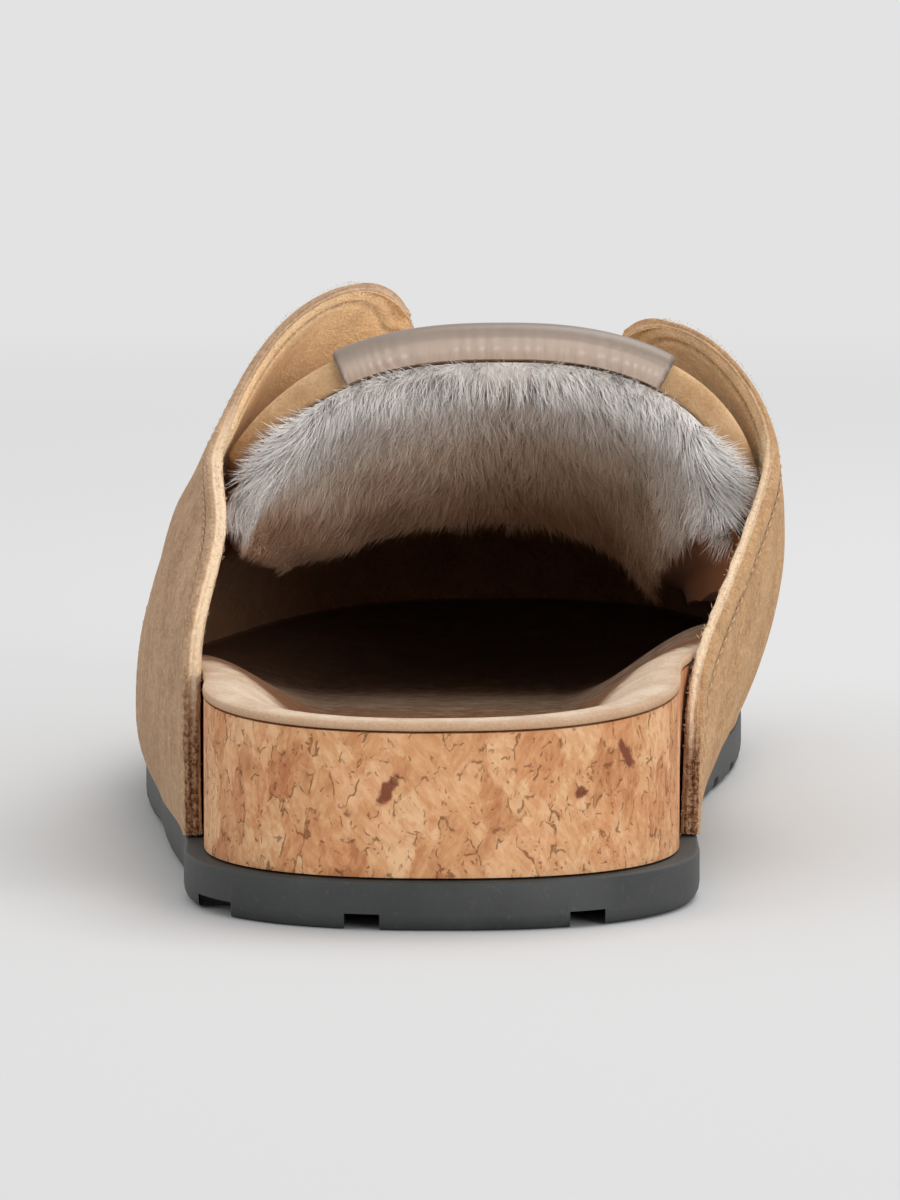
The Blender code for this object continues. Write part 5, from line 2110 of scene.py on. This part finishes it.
    def hairs(self, zone: Zone, draw: np.random.Generator) -> MeshPlan:
        """Hairs of one stretch: each leans out and down from its root, and its tip is drawn to its tuft's middle.

        Args:
            zone: the stretch.
            draw: source of chance.

        Returns:
            The hairs as spikes.
        """
        start, end, count = zone.value
        u, s = draw.uniform(-1.0, 1.0, count), draw.uniform(start, end, count)
        wavy, wider = self.edge_ragged
        ragged = self.hair_edge.start + wavy * np.sin(47.0 * s) + wider * self.edge_rim.down(s)
        u = u * np.where(u < 0.0, 1.0, ragged)
        across, along = self.tufts
        column, row = np.floor((u * 0.5 + 0.5) * across), np.floor(s * along)
        jitter = draw.uniform(0.2, 0.8, (2, across + 1, along + 1))
        cell = column.astype(int), row.astype(int)
        tuft_u, tuft_s = (column + jitter[0][cell]) / across * 2.0 - 1.0, (row + jitter[1][cell]) / along
        roots, core = self.face(u, s), self.face(tuft_u, tuft_s)
        y, a, _ = self.places(u, s)
        normal, out, down = self.directions(u, s)
        swirl = waves(9.0 * tuft_u + 5.0 * tuft_s, 21.0 * tuft_s - 6.0 * tuft_u + 1.0)
        apart, curl, back = self.lean_out
        lean_out = (apart * np.tanh(2.2 * u) + curl * swirl - back * self.turn_in.down(u))[:, None]
        drop, less, sway = self.lean_down
        lean_down = (drop - less * self.settle.up(s) + sway * np.cos(13.0 * tuft_u))[:, None]
        corner = self.flare_u.up(np.abs(u)) * self.flare_a.down(np.abs(a)) * self.flare_s.down(s)
        corner = corner * np.where(u < 0.0, *self.flare)
        away = self.last.normal(self.last.point, y, a) + np.array(self.flare_way)
        rim = self.rim.down(s)
        fringe = rim[:, None] * draw.uniform(0.0, self.fringe_most, (count, 1))
        way = self.stand * normal + out * lean_out + down * lean_down + away * corner[:, None]
        way = unit(way + np.array(self.fringe_way) * fringe + draw.normal(0.0, self.spread, (count, 3)))
        fine = self.fine.down(s) * (1.0 - np.minimum(corner, 1.0))
        shorter, thinner = self.fine_less
        long = draw.uniform(*self.hair_long, count) * (0.8 + 0.3 * jitter[0][cell]) * (1.0 + self.flare_long * corner)
        long = long * (1.0 - self.rim_less * rim) * (1.0 - shorter * fine)
        long = long * (1.0 - self.side_less * self.side_u.down(u) * self.side_start.up(s))
        tips = roots + way * long[:, None] + (core - roots) * self.clump - np.array([0.0, 0.0, self.sag])
        lift, less, share = self.bend_share
        middles = roots + normal * (lift * (1.0 - less * corner) * long)[:, None] + (tips - roots) * share
        dark = draw.uniform(0.0, 1.0, (across + 1, along + 1))[cell]
        own, shared = self.tone_shares
        tone = np.clip(own * draw.uniform(0.2, 1.0, count) + shared * dark, 0.0, 1.0)
        few, more, darkest = self.guard_share
        guard = few + more * (dark < darkest) * self.guard_span.down(s)
        tone = np.where(draw.uniform(0.0, 1.0, count) < guard, self.guard_tone, tone)
        radius = draw.uniform(*self.hair_radius, count) * (1.0 - thinner * fine)
        # Painted warm bounce light and brown shade, stronger on the lateral side past the back rim.
        corner_shade = self.corner_shade * self.corner_shade_side.down(u) * self.corner_shade_start.up(s)
        deep = np.minimum(self.shade_span.up(s) + corner_shade, 1.0)
        return spikes(roots, middles, tips, radius, {"tone": tone, "deep": deep})


class Lamp(NamedTuple):
    """A square area light at a place in metres, the place that it faces, its size and its power."""

    name: str
    at: Triple
    aim: Triple
    size: float
    power: float


@dataclass
class Studio:
    """Pale floor, soft light and a camera behind the heel, at the photograph's angle."""

    pale: float = 0.768
    floor_tone: float = 0.6
    floor_half: float = 40.0
    near: Pair = (0.3, 1.5)
    lamps: tuple[Lamp, ...] = (
        Lamp("key", (0.45, 0.4, 1.3), (0.0, 0.0, 0.0), 1.1, 11.0),
        Lamp("fill", (1.1, -1.5, 0.2), (0.0, 0.0, 0.05), 1.0, 21.0),
        Lamp("side", (-1.3, -0.9, 0.5), (0.0, 0.0, 0.05), 1.2, 5.0),
    )
    camera_at: Triple = (9.3, -984.0, 126.0)
    aim: Triple = (0.0, -60.0, 38.0)
    lens: float = 192.0
    sensor: float = 36.0
    clip_end: float = 100.0

    def build(self) -> None:
        """Sets floor, lights, world and camera."""
        self.floor()
        for lamp in self.lamps:
            light = bpy.data.lights.new(lamp.name, "AREA")
            light.size, light.energy = lamp.size, lamp.power
            self.aimed(bpy.data.objects.new(lamp.name, light), Vector(lamp.at), Vector(lamp.aim))
        world = bpy.data.worlds.new("studio")
        world.use_nodes = True
        world.node_tree.nodes["Background"].inputs["Color"].default_value = (self.pale,) * 3 + (1.0,)
        bpy.context.scene.world = world
        bpy.context.scene.view_settings.view_transform = "Standard"
        self.camera()

    def floor(self) -> None:
        """A large matt floor that passes into the background's own tone away from the shoe."""
        mesh = bpy.data.meshes.new("floor")
        far = self.floor_half
        mesh.from_pydata([(-far, -far, 0.0), (far, -far, 0.0), (far, far, 0.0), (-far, far, 0.0)], [], [(0, 1, 2, 3)])
        made = bpy.data.materials.new("floor")
        made.use_nodes = True
        graph = Graph(made)
        away = graph.step(graph.vector("LENGTH", {0: graph.metres()}, "Value"), *self.near)
        black = (0.0, 0.0, 0.0)
        graph.surface(
            Base_Color=graph.mix(away, (self.floor_tone,) * 3, black),
            Roughness=1.0,
            Specular_IOR_Level=0.0,
            Emission_Color=graph.mix(away, black, (self.pale,) * 3),
            Emission_Strength=1.0,
        )
        mesh.materials.append(made)
        floor = bpy.data.objects.new("floor", mesh)
        bpy.context.scene.collection.objects.link(floor)

    def aimed(self, piece: bpy.types.Object, at: Vector, aim: Vector) -> None:
        """Puts a lamp or camera into the scene at a place, facing another one.

        Args:
            piece: the lamp or camera.
            at: its place.
            aim: the place that it faces.
        """
        piece.location = at
        piece.rotation_euler = (aim - at).to_track_quat("-Z", "Y").to_euler()
        bpy.context.scene.collection.objects.link(piece)

    def camera(self) -> None:
        """The camera, aimed at the shoe's back half."""
        lens = bpy.data.cameras.new("camera")
        lens.lens, lens.sensor_width, lens.clip_end = self.lens, self.sensor, self.clip_end
        piece = bpy.data.objects.new("camera", lens)
        self.aimed(piece, Vector(self.camera_at) * MM, Vector(self.aim) * MM)
        bpy.context.scene.camera = piece


def main() -> None:
    """Builds and dresses every piece in order, then the studio, and notes the sizes."""
    logging.basicConfig(level=logging.INFO, format="%(message)s")
    last = Last()
    tongue = Tongue(last)
    for part in (Outsole(last), Footbed(last), Upper(last), tongue, FurLining(last, tongue)):
        part.build()
    Studio().build()


if __name__ == "__main__":
    main()
